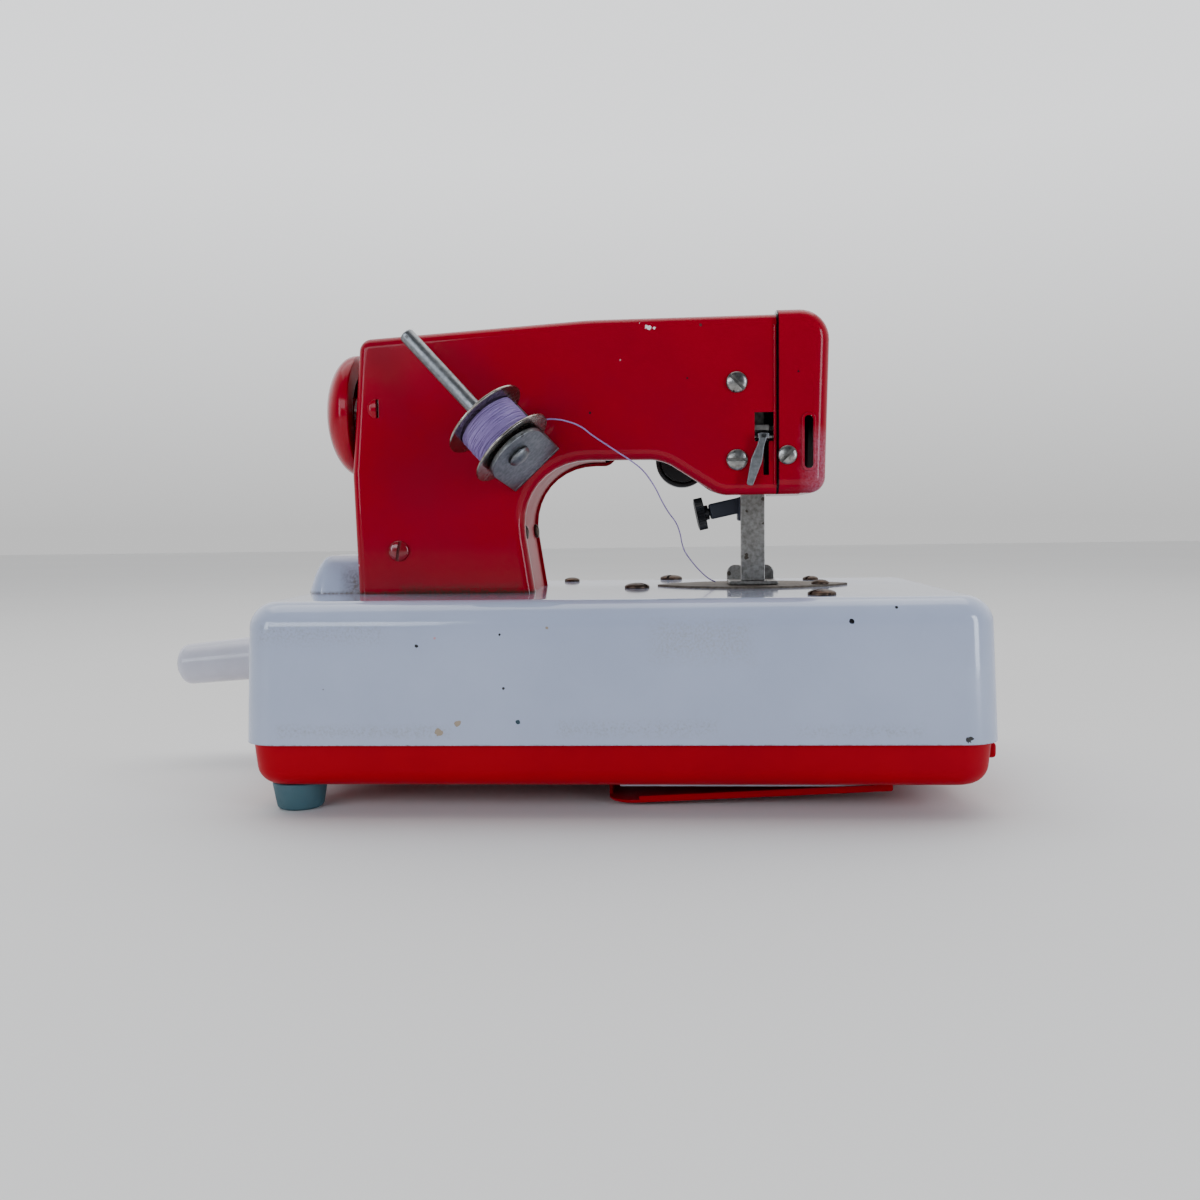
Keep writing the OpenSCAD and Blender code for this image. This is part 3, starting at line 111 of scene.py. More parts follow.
def mixColour(tree, factor, first, second):
    made = addNode(tree, "ShaderNodeMix", {0: factor, 6: first, 7: second}, data_type="RGBA")
    return made.outputs[2]


def calc(tree, operation, first, second):
    return addNode(tree, "ShaderNodeMath", {0: first, 1: second}, operation=operation).outputs[0]


def vectorCalc(tree, operation, first, second):
    key = "Scale" if operation == "SCALE" else 1
    made = addNode(tree, "ShaderNodeVectorMath", {0: first, key: second}, operation=operation)
    return made.outputs["Value" if operation == "DISTANCE" else 0]


def spread(tree, value, low, high, toLow=0.0, toHigh=1.0):
    made = addNode(tree, "ShaderNodeMapRange", {"Value": value, "From Min": low, "From Max": high,
                                                "To Min": toLow, "To Max": toHigh})
    return made.outputs[0]


def objectPlace(tree):
    return addNode(tree, "ShaderNodeTexCoord").outputs["Object"]


def noiseAt(tree, place, scale, detail, roughness=0.5):
    return addNode(tree, "ShaderNodeTexNoise", {"Vector": place, "Scale": scale, "Detail": detail,
                                                "Roughness": roughness}).outputs


def newGroup(name, inputs, outputs):
    tree = bpy.data.node_groups.new(name, "ShaderNodeTree")
    for label, value in inputs.items():
        kind = "NodeSocketVector" if isinstance(value, tuple) else "NodeSocketFloat"
        tree.interface.new_socket(label, in_out="INPUT", socket_type=kind).default_value = value
    for label in outputs:
        tree.interface.new_socket(label, in_out="OUTPUT", socket_type="NodeSocketFloat")
    return tree, addNode(tree, "NodeGroupInput").outputs, addNode(tree, "NodeGroupOutput").inputs


# small specks, a share of the cells of a slightly warped pattern
def speckGroup():
    tree, given, out = newGroup("scatteredSpecks", {"Scale": 200.0, "Size": 0.12, "Share": 0.2}, ["Mask"])
    place = objectPlace(tree)
    warp = vectorCalc(tree, "MULTIPLY", noiseAt(tree, place, 900.0, 2.0)["Color"], (0.0008, 0.0008, 0.0008))
    shifted = vectorCalc(tree, "ADD", place, warp)
    cells = addNode(tree, "ShaderNodeTexVoronoi", {"Vector": shifted, "Scale": given["Scale"]}).outputs
    parts = addNode(tree, "ShaderNodeSeparateColor", {0: cells["Color"]}).outputs
    chosen = calc(tree, "LESS_THAN", parts[0], given["Share"])
    inside = calc(tree, "LESS_THAN", cells["Distance"], calc(tree, "MULTIPLY", given["Size"], parts[1]))
    tree.links.new(calc(tree, "MULTIPLY", chosen, inside), out["Mask"])
    return tree


# broad dulled patches, with a fine ripple for the bump
def smudgeGroup():
    tree, given, out = newGroup("handledSmudges", {"Scale": 25.0, "Clean": 0.12, "Smudged": 0.3},
                                ["Roughness", "Mask", "Ripple"])
    place = objectPlace(tree)
    mask = spread(tree, noiseAt(tree, place, given["Scale"], 6.0, 0.62)["Fac"], 0.42, 0.72)
    tree.links.new(spread(tree, mask, 0.0, 1.0, given["Clean"], given["Smudged"]), out["Roughness"])
    tree.links.new(mask, out["Mask"])
    tree.links.new(noiseAt(tree, place, 260.0, 1.0)["Fac"], out["Ripple"])
    return tree


# one ragged spot at a place
def spotGroup():
    tree, given, out = newGroup("placedSpot", {"Centre": (0, 0, 0), "Radius": 0.001, "Ragged": 0.6}, ["Mask"])
    place = objectPlace(tree)
    away = vectorCalc(tree, "DISTANCE", place, given["Centre"])
    rag = spread(tree, noiseAt(tree, place, 700.0, 3.0)["Fac"], 0.3, 0.7, -1.0, 1.0)
    grown = calc(tree, "ADD", calc(tree, "MULTIPLY", rag, given["Ragged"]), 1.0)
    reach = calc(tree, "MULTIPLY", given["Radius"], grown)
    tree.links.new(calc(tree, "LESS_THAN", away, reach), out["Mask"])
    return tree


# a box with a ragged, soft and broken edge, masking grime and also painted shade and sheen
def dirtAndShadeGroup():
    tree, given, out = newGroup("raggedDirtAndShade", {
        "Low": (0, 0, 0), "High": (0, 0, 0), "Ragged": 0.001, "Soft": 0.0003, "Broken": 0.5}, ["Mask"])
    place = objectPlace(tree)
    centred = vectorCalc(tree, "SUBTRACT", noiseAt(tree, place, 420.0, 5.0)["Color"], (0.5, 0.5, 0.5))
    shifted = vectorCalc(tree, "ADD", place, vectorCalc(tree, "SCALE", centred, given["Ragged"]))
    above = vectorCalc(tree, "SUBTRACT", shifted, given["Low"])
    below = vectorCalc(tree, "SUBTRACT", given["High"], shifted)
    parts = addNode(tree, "ShaderNodeSeparateXYZ", {0: vectorCalc(tree, "MINIMUM", above, below)}).outputs
    depth = calc(tree, "MINIMUM", calc(tree, "MINIMUM", parts[0], parts[1]), parts[2])
    inside = spread(tree, depth, 0.0, given["Soft"])
    patch = noiseAt(tree, place, 1500.0, 6.0, 0.65)["Fac"]
    kept = spread(tree, calc(tree, "SUBTRACT", patch, given["Broken"]), -0.2, 0.2)
    tree.links.new(calc(tree, "MULTIPLY", inside, kept), out["Mask"])
    return tree


specks, smudges, spots, raggedDirtAndShade = speckGroup(), smudgeGroup(), spotGroup(), dirtAndShadeGroup()


def useGroup(tree, group, **values):
    made = addNode(tree, "ShaderNodeGroup", node_tree=group)
    for key, value in values.items():
        made.inputs[key].default_value = value
    return made.outputs


def newMaterial(name, metallic=0.0, coat=0.0, coatRough=0.05, specular=0.5):
    made = bpy.data.materials.new(name)
    made.use_nodes = True
    shader = made.node_tree.nodes["Principled BSDF"]
    for key, value in (("Metallic", metallic), ("Coat Weight", coat), ("Coat Roughness", coatRough),
                       ("Specular IOR Level", specular)):
        shader.inputs[key].default_value = value
    return made, made.node_tree, shader


def finishShader(tree, shader, shade, roughness, height, bump):
    strength, depth = bump
    made = addNode(tree, "ShaderNodeBump", {"Height": height, "Strength": strength, "Distance": depth})
    tree.links.new(shade, shader.inputs["Base Color"])
    tree.links.new(roughness, shader.inputs["Roughness"])
    tree.links.new(made.outputs[0], shader.inputs["Normal"])


# painted sheet metal: colour, dulled patches, dust, ragged patches of grime and of painted shade and sheen,
# and marks at places read off the photograph
paintLook = {"patches": 22.0, "dustScale": 230.0, "dustSize": 0.09, "dustCover": 0.75, "coatRough": 0.04,
             "bump": (0.06, 0.0004)}


def paintMaterial(name, colour, deep, rough, dust=0.12, dirtAndShade=(), marks=(), dustColour=(0.75, 0.6, 0.6, 1),
                  coat=0.35, specular=0.5):
    c = paintLook
    made, tree, shader = newMaterial(name, coat=coat, coatRough=c["coatRough"], specular=specular)
    worn = useGroup(tree, smudges, Scale=c["patches"], Clean=rough[0], Smudged=rough[1])
    shade = mixColour(tree, worn["Mask"], colour, deep)
    fine = useGroup(tree, specks, Scale=c["dustScale"], Size=c["dustSize"], Share=dust)
    shade = mixColour(tree, calc(tree, "MULTIPLY", fine["Mask"], c["dustCover"]), shade, dustColour)
    # grime patches, and the patches of painted shade and painted sheen
    for lowCorner, highCorner, ragged, soft, broken, tint in dirtAndShade:
        box = useGroup(tree, raggedDirtAndShade, Low=rowPoint(*lowCorner), High=rowPoint(*highCorner),
                       Ragged=ragged * 0.001, Soft=soft * 0.001, Broken=broken)
        shade = mixColour(tree, box["Mask"], shade, tint)
    for place, radius, ragged, tint in marks:
        spot = useGroup(tree, spots, Centre=rowPoint(*place), Radius=radius * 0.001, Ragged=ragged)
        shade = mixColour(tree, spot["Mask"], shade, tint)
    finishShader(tree, shader, shade, worn["Roughness"], worn["Ripple"], c["bump"])
    return made


# bare or plated metal: fine even mottling, darker pits, dull patches
metalLook = {"patches": 60.0, "stretch": (220.0, 220.0, 220.0), "mottle": 4.0, "pitScale": 420.0,
             "pitSize": 0.3, "bump": (0.25, 0.0001)}


def metalMaterial(name, light, dark, pit, rough=(0.25, 0.5), pits=0.1, metallic=1.0):
    c = metalLook
    made, tree, shader = newMaterial(name, metallic=metallic)
    stretched = addNode(tree, "ShaderNodeMapping", {"Vector": objectPlace(tree), "Scale": c["stretch"]})
    mottle = noiseAt(tree, stretched.outputs[0], c["mottle"], 5.0)["Fac"]
    shade = mixColour(tree, spread(tree, mottle, 0.35, 0.68), light, dark)
    holes = useGroup(tree, specks, Scale=c["pitScale"], Size=c["pitSize"], Share=pits)
    shade = mixColour(tree, holes["Mask"], shade, pit)
    worn = useGroup(tree, smudges, Scale=c["patches"], Clean=rough[0], Smudged=rough[1])
    height = calc(tree, "SUBTRACT", mottle, holes["Mask"])
    finishShader(tree, shader, shade, worn["Roughness"], height, c["bump"])
    return made


# moulded plastic and rubber: even colour with soft mottling and a fine grain
mouldedLook = {"patches": 70.0, "grainDepth": 0.0002}


def mouldedMaterial(name, light, dark, rough=(0.3, 0.5), grain=800.0, bumpStrength=0.1):
    c = mouldedLook
    made, tree, shader = newMaterial(name)
    worn = useGroup(tree, smudges, Scale=c["patches"], Clean=rough[0], Smudged=rough[1])
    shade = mixColour(tree, worn["Mask"], light, dark)
    skin = noiseAt(tree, objectPlace(tree), grain, 2.0)["Fac"]
    finishShader(tree, shader, shade, worn["Roughness"], skin, (bumpStrength, c["grainDepth"]))
    return made


darkMark, tealMark, tanMark = (0.01, 0.01, 0.012, 1), (0.0, 0.03, 0.05, 1), (0.33, 0.26, 0.18, 1)
chipMark, pinkMark, rustMark = (0.8, 0.78, 0.76, 1), (0.6, 0.3, 0.32, 1), (0.1, 0.03, 0.03, 1)
greyScuff, paintedSeamShade, enamelDust = (0.3, 0.31, 0.34, 1), (0.008, 0.001, 0.002, 1), (0.1, 0.08, 0.07, 1)
# patches of grime, painted shade and painted sheen: low corner, high corner, raggedness, softness,
# brokenness, tint
# marks: place, radius, raggedness, tint
wear = {
    "headDirtShadeAndSheen": [
        ((-64, -25, bed - 5), (-28, -14, bed + 3.4), 2.5, 3.2, 0.42, (0.075, 0.03, 0.022, 1)),
        ((-79, -25, bed - 3), (-21, -14, bed + 1.1), 1.2, 0.7, 0.4, (0.06, 0.028, 0.02, 1)),
        # a near-black line on the cover along the cap's edge, painted shade in the gap between cover and cap
        ((45.25, -25, bed + 20), (46.05, 25, bed + 90), 0.2, 0.12, 0.2, paintedSeamShade),
        # a lighter pink patch low on the cap's near face, a painted sheen
        ((51, -27, bed + 24), (66, -12, bed + 47), 3, 6.5, 0.5, (0.42, 0.14, 0.2, 1))],
    "headMarks": [
        ((9.6, -19.7, 131.9), 0.75, 0.8, chipMark), ((11.2, -19.7, 131.7), 0.55, 0.8, chipMark),
        ((-7.4, -20, 108.3), 0.32, 0.4, darkMark), ((20.3, -20, 117.5), 0.28, 0.4, darkMark),
        ((24.1, -20, 132.2), 0.4, 0.4, rustMark), ((51.4, -21, 118.6), 0.28, 0.5, darkMark),
        ((1.4, -20, 123), 0.22, 0.4, pinkMark)],
    "casingDirt": [
        ((-68, -29, bed - 8), (-23, -12, bed + 3), 3, 5.5, 0.42, (0.19, 0.165, 0.15, 1)),
        ((-101, -56, 19), (101, -50, 19.7), 0.5, 0.2, 0.6, (0.09, 0.06, 0.06, 1)),
        ((-90, -60, 20.6), (-42, -48, 25.6), 1.5, 2.2, 0.62, greyScuff),
        ((-16, -60, 20.6), (28, -48, 27), 1.5, 2.6, 0.65, greyScuff),
        ((46, -60, 20.6), (80, -48, 25.4), 1.5, 2.2, 0.66, greyScuff),
        ((-96, -60, 44.5), (-58, -44, 53), 1.5, 3.5, 0.65, greyScuff),
        ((8, -60, 39), (38, -44, 54), 1.5, 6, 0.62, (0.33, 0.33, 0.33, 1))],
    "casingMarks": [
        ((61, -53.5, 51), 0.7, 0.2, darkMark), ((72.5, -52, 54.4), 0.45, 0.2, darkMark),
        ((-24.9, -54.77, 25.6), 0.6, 0.4, tealMark), ((-51.3, -54.02, 45.6), 0.5, 0.5, darkMark),
        ((-45.7, -54.87, 23), 1.15, 0.6, tanMark), ((-40.9, -54.78, 25.3), 0.9, 0.5, tanMark),
        ((90.4, -54.9, 20.9), 0.8, 0.7, darkMark), ((-29.5, -53.9, 48.4), 0.35, 0.4, darkMark),
        ((-28.6, -54.4, 34.3), 0.3, 0.4, darkMark), ((-17, -53.6, 50), 0.4, 0.4, tanMark),
        ((-46.5, -54, 47.6), 0.35, 0.4, pinkMark)],
    "panMarks": [((91, -54, 10.8), 0.8, 0.4, (0.12, 0.12, 0.14, 1)), ((5, -53.6, 17.4), 0.3, 0.5, pinkMark)],
    "humpDirtAndShade": [
        # brown grime, with painted shadow, on the hump's side next to the column
        ((-83.5, -20, bed - 6), (-72, 17, bed + 9), 3, 5.5, 0.42, (0.14, 0.1, 0.08, 1)),
        # a thin dark band along the hump's foot, painted shade where it meets the bed
        ((-98, -20, bed - 3), (-72, 17, bed + 0.8), 0.6, 0.8, 0.36, (0.12, 0.09, 0.07, 1))]}
headRed, headDeep = (0.34, 0.0, 0.014, 1), (0.28, 0.0, 0.014, 1)
whiteTone, whiteDeep = (0.43, 0.48, 0.63, 1), (0.39, 0.44, 0.58, 1)
finishes = {
    "headPaint": paintMaterial("headPaint", headRed, headDeep, (0.14, 0.28), dirtAndShade=wear["headDirtShadeAndSheen"],
                               marks=wear["headMarks"], coat=0.22, specular=0.1),
    "stripPaint": paintMaterial("stripPaint", (0.36, 0.02, 0.03, 1), (0.3, 0.015, 0.025, 1), (0.4, 0.55),
                                coat=0.0),
    "screwPaint": paintMaterial("screwPaint", (0.26, 0.0, 0.009, 1), (0.16, 0.0, 0.008, 1), (0.15, 0.3),
                                dust=0.3, dustColour=(0.03, 0.015, 0.01, 1)),
    "panPaint": paintMaterial("panPaint", (0.4, 0.0, 0.01, 1), (0.34, 0.0, 0.011, 1), (0.35, 0.5), dust=0.04,
                              marks=wear["panMarks"], coat=0.0, specular=0.06),
    # inner faces of the red shells in near-black, painted shade for their unlit insides
    "insideShade": mouldedMaterial("paintedInsideShade", (0.012, 0.004, 0.005, 1), (0.02, 0.008, 0.008, 1), (0.6, 0.8)),
    "whiteEnamel": paintMaterial("whiteEnamel", whiteTone, whiteDeep, (0.1, 0.22), dust=0.02,
                                 dirtAndShade=wear["casingDirt"], marks=wear["casingMarks"], dustColour=enamelDust),
    "humpEnamel": paintMaterial("humpEnamel", whiteTone, whiteDeep, (0.14, 0.28), dust=0.03,
                                dirtAndShade=wear["humpDirtAndShade"], dustColour=enamelDust),
    "steel": metalMaterial("dullSteel", (0.55, 0.54, 0.51, 1), (0.34, 0.33, 0.31, 1), (0.09, 0.07, 0.05, 1)),
    "screwSteel": metalMaterial("screwSteel", (0.38, 0.37, 0.35, 1), (0.18, 0.17, 0.16, 1),
                                (0.04, 0.035, 0.03, 1), (0.28, 0.45)),
    "bobbinSteel": metalMaterial("bobbinSteel", (0.4, 0.37, 0.33, 1), (0.2, 0.18, 0.15, 1),
                                 (0.06, 0.045, 0.035, 1), (0.22, 0.42)),
    "greySteel": metalMaterial("greyPlating", (0.27, 0.28, 0.29, 1), (0.17, 0.18, 0.19, 1),
                               (0.1, 0.1, 0.1, 1), (0.38, 0.55)),
    "plateSteel": metalMaterial("plateSteel", (0.16, 0.13, 0.1, 1), (0.09, 0.072, 0.055, 1),
                                (0.04, 0.03, 0.022, 1), (0.6, 0.8), metallic=0.5),
    "bronze": metalMaterial("tarnishedBronze", (0.11, 0.075, 0.055, 1), (0.05, 0.035, 0.028, 1),
                            (0.02, 0.014, 0.012, 1), (0.42, 0.6)),
    "brass": metalMaterial("brass", (0.7, 0.5, 0.22, 1), (0.5, 0.34, 0.14, 1), (0.2, 0.12, 0.05, 1)),
    "pitted": metalMaterial("pittedSteel", (0.37, 0.36, 0.34, 1), (0.21, 0.2, 0.185, 1),
                            (0.1, 0.085, 0.07, 1), (0.35, 0.55), 0.28),
    "navy": mouldedMaterial("navyPaint", (0.012, 0.016, 0.03, 1), (0.02, 0.025, 0.042, 1), (0.4, 0.6)),
    "black": mouldedMaterial("blackPlastic", (0.012, 0.012, 0.013, 1), (0.02, 0.02, 0.022, 1), (0.28, 0.45)),
    "rubber": mouldedMaterial("footRubber", (0.045, 0.115, 0.14, 1), (0.03, 0.085, 0.105, 1), (0.55, 0.8),
                              500.0, 0.4),
    "whitePlastic": mouldedMaterial("whitePlastic", (0.6, 0.6, 0.68, 1), (0.53, 0.53, 0.6, 1), (0.15, 0.3),
                                    300.0, 0.05),
    "nylon": mouldedMaterial("nylon", (0.7, 0.68, 0.6, 1), (0.6, 0.58, 0.5, 1)),
    "jacket": mouldedMaterial("cellJacket", (0.03, 0.035, 0.07, 1), (0.05, 0.05, 0.08, 1), (0.25, 0.4)),
    "lilac": mouldedMaterial("lilacThread", (0.33, 0.24, 0.52, 1), (0.23, 0.15, 0.38, 1), (0.6, 0.85),
                             1800.0, 0.5)}
slotFinish = {
    "white_enamel": "whiteEnamel", "red_paint": "headPaint", "red_plastic": "headPaint",
    "foot_rubber": "rubber", "steel": "steel", "grey_steel": "greySteel", "plate_steel": "plateSteel",
    "bronze_screws": "bronze", "brass": "brass", "navy_paint": "navy", "black_plastic": "black",
    "white_plastic": "whitePlastic", "nylon": "nylon", "cell_jacket": "jacket", "lilac_thread": "lilac"}
slotOf = {entry["node"]: entry["material_slot"] for entry in frame["record"]["subparts"]}
bodyOf = {node: body for body, nodes in frame["record"]["behaviour"]["bodies"].items() for node in nodes}
for node, cadObject in frame["nodes"].items():
    for holder in cadObject.material_slots:
        holder.material = finishes["black" if node == "tension_discs" else slotFinish[slotOf[node]]]
print("finishes made:", len(finishes))


# mesh helpers, all in the machine's millimetres
def roundedPath(points, steps=6):
    path = []
    for index, (a, b, radius) in enumerate(points):
        corner = Vector((a, b))
        if radius <= 0 or index in (0, len(points) - 1):
            path.append(corner)
            continue
        before, after = Vector(points[index - 1][:2]), Vector(points[index + 1][:2])
        into, away = (before - corner).normalized(), (after - corner).normalized()
        half = into.angle(away) / 2
        centre = corner + (into + away).normalized() * radius / math.sin(half)
        start, end = corner + into * radius / math.tan(half), corner + away * radius / math.tan(half)
        first, turn = start - centre, (start - centre).angle_signed(end - centre)
        path += [centre + Matrix.Rotation(-turn * k / steps, 2) @ first for k in range(steps + 1)]
    return path


def domePath(radius, depth, rim, angles):
    turns = [math.radians(a) for a in angles]
    return [Vector((radius * math.sin(a), rim - depth * math.cos(a))) for a in turns]


def spun(path, steps):
    bm = bmesh.new()
    verts = [bm.verts.new((p.x, 0, p.y)) for p in path]
    edges = [bm.edges.new(pair) for pair in zip(verts, verts[1:])]
    bmesh.ops.spin(bm, geom=verts + edges, cent=(0, 0, 0), axis=(0, 0, 1), dvec=(0, 0, 0), angle=2 * math.pi,
                   steps=steps, use_merge=True, use_normal_flip=False, use_duplicate=False)
    bmesh.ops.remove_doubles(bm, verts=bm.verts, dist=0.0005)
    bmesh.ops.recalc_face_normals(bm, faces=bm.faces)
    return bm


def coiled(radius, thickness, lowEnd, turns, pitch, steps, sides):
    bm = bmesh.new()
    bmesh.ops.create_circle(bm, segments=sides, radius=thickness / 2, cap_ends=True)
    moved(bm, Matrix.Translation((radius, 0, lowEnd)) @ turned(90, "X"))
    bmesh.ops.spin(bm, geom=bm.verts[:] + bm.edges[:] + bm.faces[:], cent=(0, 0, 0), axis=(0, 0, 1),
                   dvec=(0, 0, pitch / steps), angle=2 * math.pi * turns, steps=int(turns * steps),
                   use_merge=False, use_normal_flip=False, use_duplicate=False)
    return bm


def softBlock(lowCorner, highCorner, edge=0.2, segments=2):
    bm = bmesh.new()
    bmesh.ops.create_cube(bm, size=1)
    size = [h - l for l, h in zip(lowCorner, highCorner)]
    middle = [(h + l) / 2 for l, h in zip(lowCorner, highCorner)]
    bmesh.ops.scale(bm, vec=size, verts=bm.verts)
    bmesh.ops.translate(bm, vec=middle, verts=bm.verts)
    if edge > 0:
        bmesh.ops.bevel(bm, geom=bm.edges[:], offset=edge, offset_type="OFFSET", segments=segments,
                        profile=0.5, affect="EDGES", clamp_overlap=True, material=-1)
    return bm


def sharpBlock(lowCorner, highCorner):
    return softBlock(lowCorner, highCorner, 0)


def rod(radius, start, end, segments=32):
    start, end = Vector(start), Vector(end)
    bm = bmesh.new()
    bmesh.ops.create_cone(bm, cap_ends=True, segments=segments, radius1=radius, radius2=radius,
                          depth=(end - start).length)
    turn = Vector((0, 0, 1)).rotation_difference(end - start).to_matrix().to_4x4()
    return moved(bm, Matrix.Translation((start + end) / 2) @ turn)


def roundVerts(bm, wanted, segments):
    for place, radius in wanted:
        corner = min(bm.verts, key=lambda v: (v.co - Vector(place)).length)
        ends = [e.other_vert(corner).co - corner.co for e in corner.link_edges]
        reach = radius / math.tan(ends[0].angle(ends[1]) / 2)
        bmesh.ops.bevel(bm, geom=[corner], offset=reach, offset_type="OFFSET", segments=segments, profile=0.5,
                        affect="VERTICES", clamp_overlap=False, material=-1)


def sheetFace(corners, y, segments=10):
    bm = bmesh.new()
    bm.faces.new([bm.verts.new((x, y, z)) for x, z, radius in corners])
    roundVerts(bm, [((x, y, z), radius) for x, z, radius in corners if radius > 0], segments)
    return bm


def levelFace(corners, z):
    bm = bmesh.new()
    bm.faces.new([bm.verts.new((x, y, z)) for x, y in corners])
    return bm


def pushed(bm, faces, offset):
    made = bmesh.ops.extrude_face_region(bm, geom=faces)["geom"]
    verts = [item for item in made if isinstance(item, bmesh.types.BMVert)]
    bmesh.ops.translate(bm, verts=verts, vec=offset)
    return [item for item in made if isinstance(item, bmesh.types.BMFace)]


def thickened(bm, offset):
    pushed(bm, bm.faces[:], offset)
    bmesh.ops.recalc_face_normals(bm, faces=bm.faces)
    return bm


def levelEdges(bm, axis):
    return [e for e in bm.edges if abs(e.verts[0].co[axis] - e.verts[1].co[axis]) < 0.01]


def bevelled(bm, edges, offset, segments):
    bmesh.ops.bevel(bm, geom=edges, offset=offset, offset_type="OFFSET", segments=segments, profile=0.5,
                    affect="EDGES", clamp_overlap=False, material=-1)


def split(bm, place, normal, trim):
    bmesh.ops.bisect_plane(bm, geom=bm.verts[:] + bm.edges[:] + bm.faces[:], dist=0.0001, plane_co=place,
                           plane_no=normal, clear_outer=trim)


def trimmed(bm, place, normal):
    split(bm, place, normal, True)


def dropFaces(bm, test):
    doomed = [f for f in bm.faces if test(f.calc_center_median(), f.normal)]
    bmesh.ops.delete(bm, geom=doomed, context="FACES")


def joined(*meshes):
    whole = bmesh.new()
    for bm in meshes:
        data = bpy.data.meshes.new("joining")
        bm.to_mesh(data)
        bm.free()
        whole.from_mesh(data)
        bpy.data.meshes.remove(data)
    return whole


def moved(bm, matrix):
    bmesh.ops.transform(bm, matrix=matrix, verts=bm.verts)
    return bm


# gives a shell the head paint, and the near-black painted shade for its inner faces
def addInsideShade(data):
    for finish in ("headPaint", "insideShade"):
        data.materials.append(finishes[finish])


def asObject(bm, name):
    data = bpy.data.meshes.new(name)
    bm.to_mesh(data)
    bm.free()
    if any(face.material_index for face in data.polygons):
        addInsideShade(data)
    made = bpy.data.objects.new(name, data)
    bpy.context.scene.collection.objects.link(made)
    return made


def discarded(made):
    data = made.data
    bpy.data.objects.remove(made)
    bpy.data.meshes.remove(data)


def settled(made):
    graph = bpy.context.evaluated_depsgraph_get()
    bm = bmesh.new()
    bm.from_mesh(made.evaluated_get(graph).to_mesh())
    made.evaluated_get(graph).to_mesh_clear()
    discarded(made)
    return bm


# the wall's inner faces can take the near-black painted shade
def walled(bm, thickness, shadedInside=False):
    made = asObject(bm, "walling")
    wall = made.modifiers.new("wall", "SOLIDIFY")
    wall.thickness, wall.offset, wall.use_even_offset, wall.use_rim = thickness, -1.0, True, True
    if shadedInside:
        addInsideShade(made.data)
        wall.material_offset = 1
    return settled(made)


def shelled(bm, thickness, shadedInside=False):
    bmesh.ops.recalc_face_normals(bm, faces=bm.faces)
    return walled(bm, thickness, shadedInside)


def carved(bm, *cutters):
    made = asObject(bm, "carving")
    for cutter in cutters:
        bmesh.ops.recalc_face_normals(cutter, faces=cutter.faces)
        tool = asObject(cutter, "cutter")
        cut = made.modifiers.new("cut", "BOOLEAN")
        cut.operation, cut.solver, cut.object = "DIFFERENCE", "EXACT", tool
        made = asObject(settled(made), "carving")
        discarded(tool)
    return settled(made)


def placePiece(bm, name, node, finish, angle=35, weigh=True):
    moved(bm, toRow)
    made = asObject(bm, name)
    made.data.shade_smooth()
    made.data.set_sharp_from_angle(angle=math.radians(angle))
    if weigh:
        weight = made.modifiers.new("evenShading", "WEIGHTED_NORMAL")
        weight.keep_sharp = True
    if not made.data.materials:
        made.data.materials.append(finishes[finish])
    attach(made, bodyOf[node])
    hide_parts(node)
    return made


# the lilac thread that hangs from the bobbin to the needle plate
threadLine = {
    "diameter": 0.4,
    "points": [
        (-24.4, -28.5, 45.4), (-21.7, -27.3, 47.5), (-19.4, -27, 48.9), (-16.5, -26.8, 49),
        (-13.7, -26.4, 48.5), (-9.8, -25.6, 47), (-6.6, -24.8, 44.6), (-3.2, -24, 42.3), (0.4, -23.2, 39.9),
        (4, -22.4, 37.5), (7.3, -19.5, 34.9), (9.5, -17, 32.1), (11.2, -14.5, 29.3), (12.6, -12, 26.4),
        (14.6, -9, 22.9), (16.9, -6, 19.6), (18.1, -3.5, 16.3), (18.7, -1.5, 13.3), (19.6, 0, 10.8),
        (21.5, 2, 8), (24.2, 4.2, 4.8), (27.1, 6, 2.2), (29, 7, 1.2)]}


def hangThread():
    data = bpy.data.curves.new("hangingThread", "CURVE")
    data.dimensions = "3D"
    data.bevel_depth = threadLine["diameter"] * 0.0005
    data.bevel_resolution, data.resolution_u, data.use_fill_caps = 2, 6, True
    line = data.splines.new("BEZIER")
    line.bezier_points.add(len(threadLine["points"]) - 1)
    places = [toRow @ (Vector(p) + Vector((0, 0, bed))) for p in threadLine["points"]]
    for knot, place in zip(line.bezier_points, places):
        knot.co = place
        knot.handle_left_type = knot.handle_right_type = "AUTO"
    data.materials.append(finishes["lilac"])
    made = bpy.data.objects.new("hangingThread", data)
    bpy.context.scene.collection.objects.link(made)
    bpy.context.view_layer.update()
    length = line.calc_length()
    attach(made, bodyOf["thread"])
    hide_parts("thread")
    return length


print("thread hung, metres:", round(hangThread(), 4))


# a pressed tub: rounded corners, sides drawn in towards the closed end, and its edge rolled over
def pressedTub(c, closed, opened):
    length, depth = c["halfLength"], c["halfDepth"]
    bm = sharpBlock((-length, -depth, min(closed, opened)), (length, depth, max(closed, opened)))
    bevelled(bm, [e for e in bm.edges if abs(e.verts[0].co.z - e.verts[1].co.z) > 1], c["corner"], 10)
    drawnIn = ((length - c["taper"]) / length, (depth - c["taper"]) / depth, 1)
    bmesh.ops.scale(bm, vec=drawnIn, verts=[v for v in bm.verts if abs(v.co.z - closed) < 1])
    rim = [e for e in bm.edges if all(abs(v.co.z - closed) < 0.1 for v in e.verts)]
    bevelled(bm, rim, c["edge"], c["edgeSteps"])
    dropFaces(bm, lambda place, normal: abs(place.z - opened) < 0.1)
    return shelled(bm, c["sheet"])


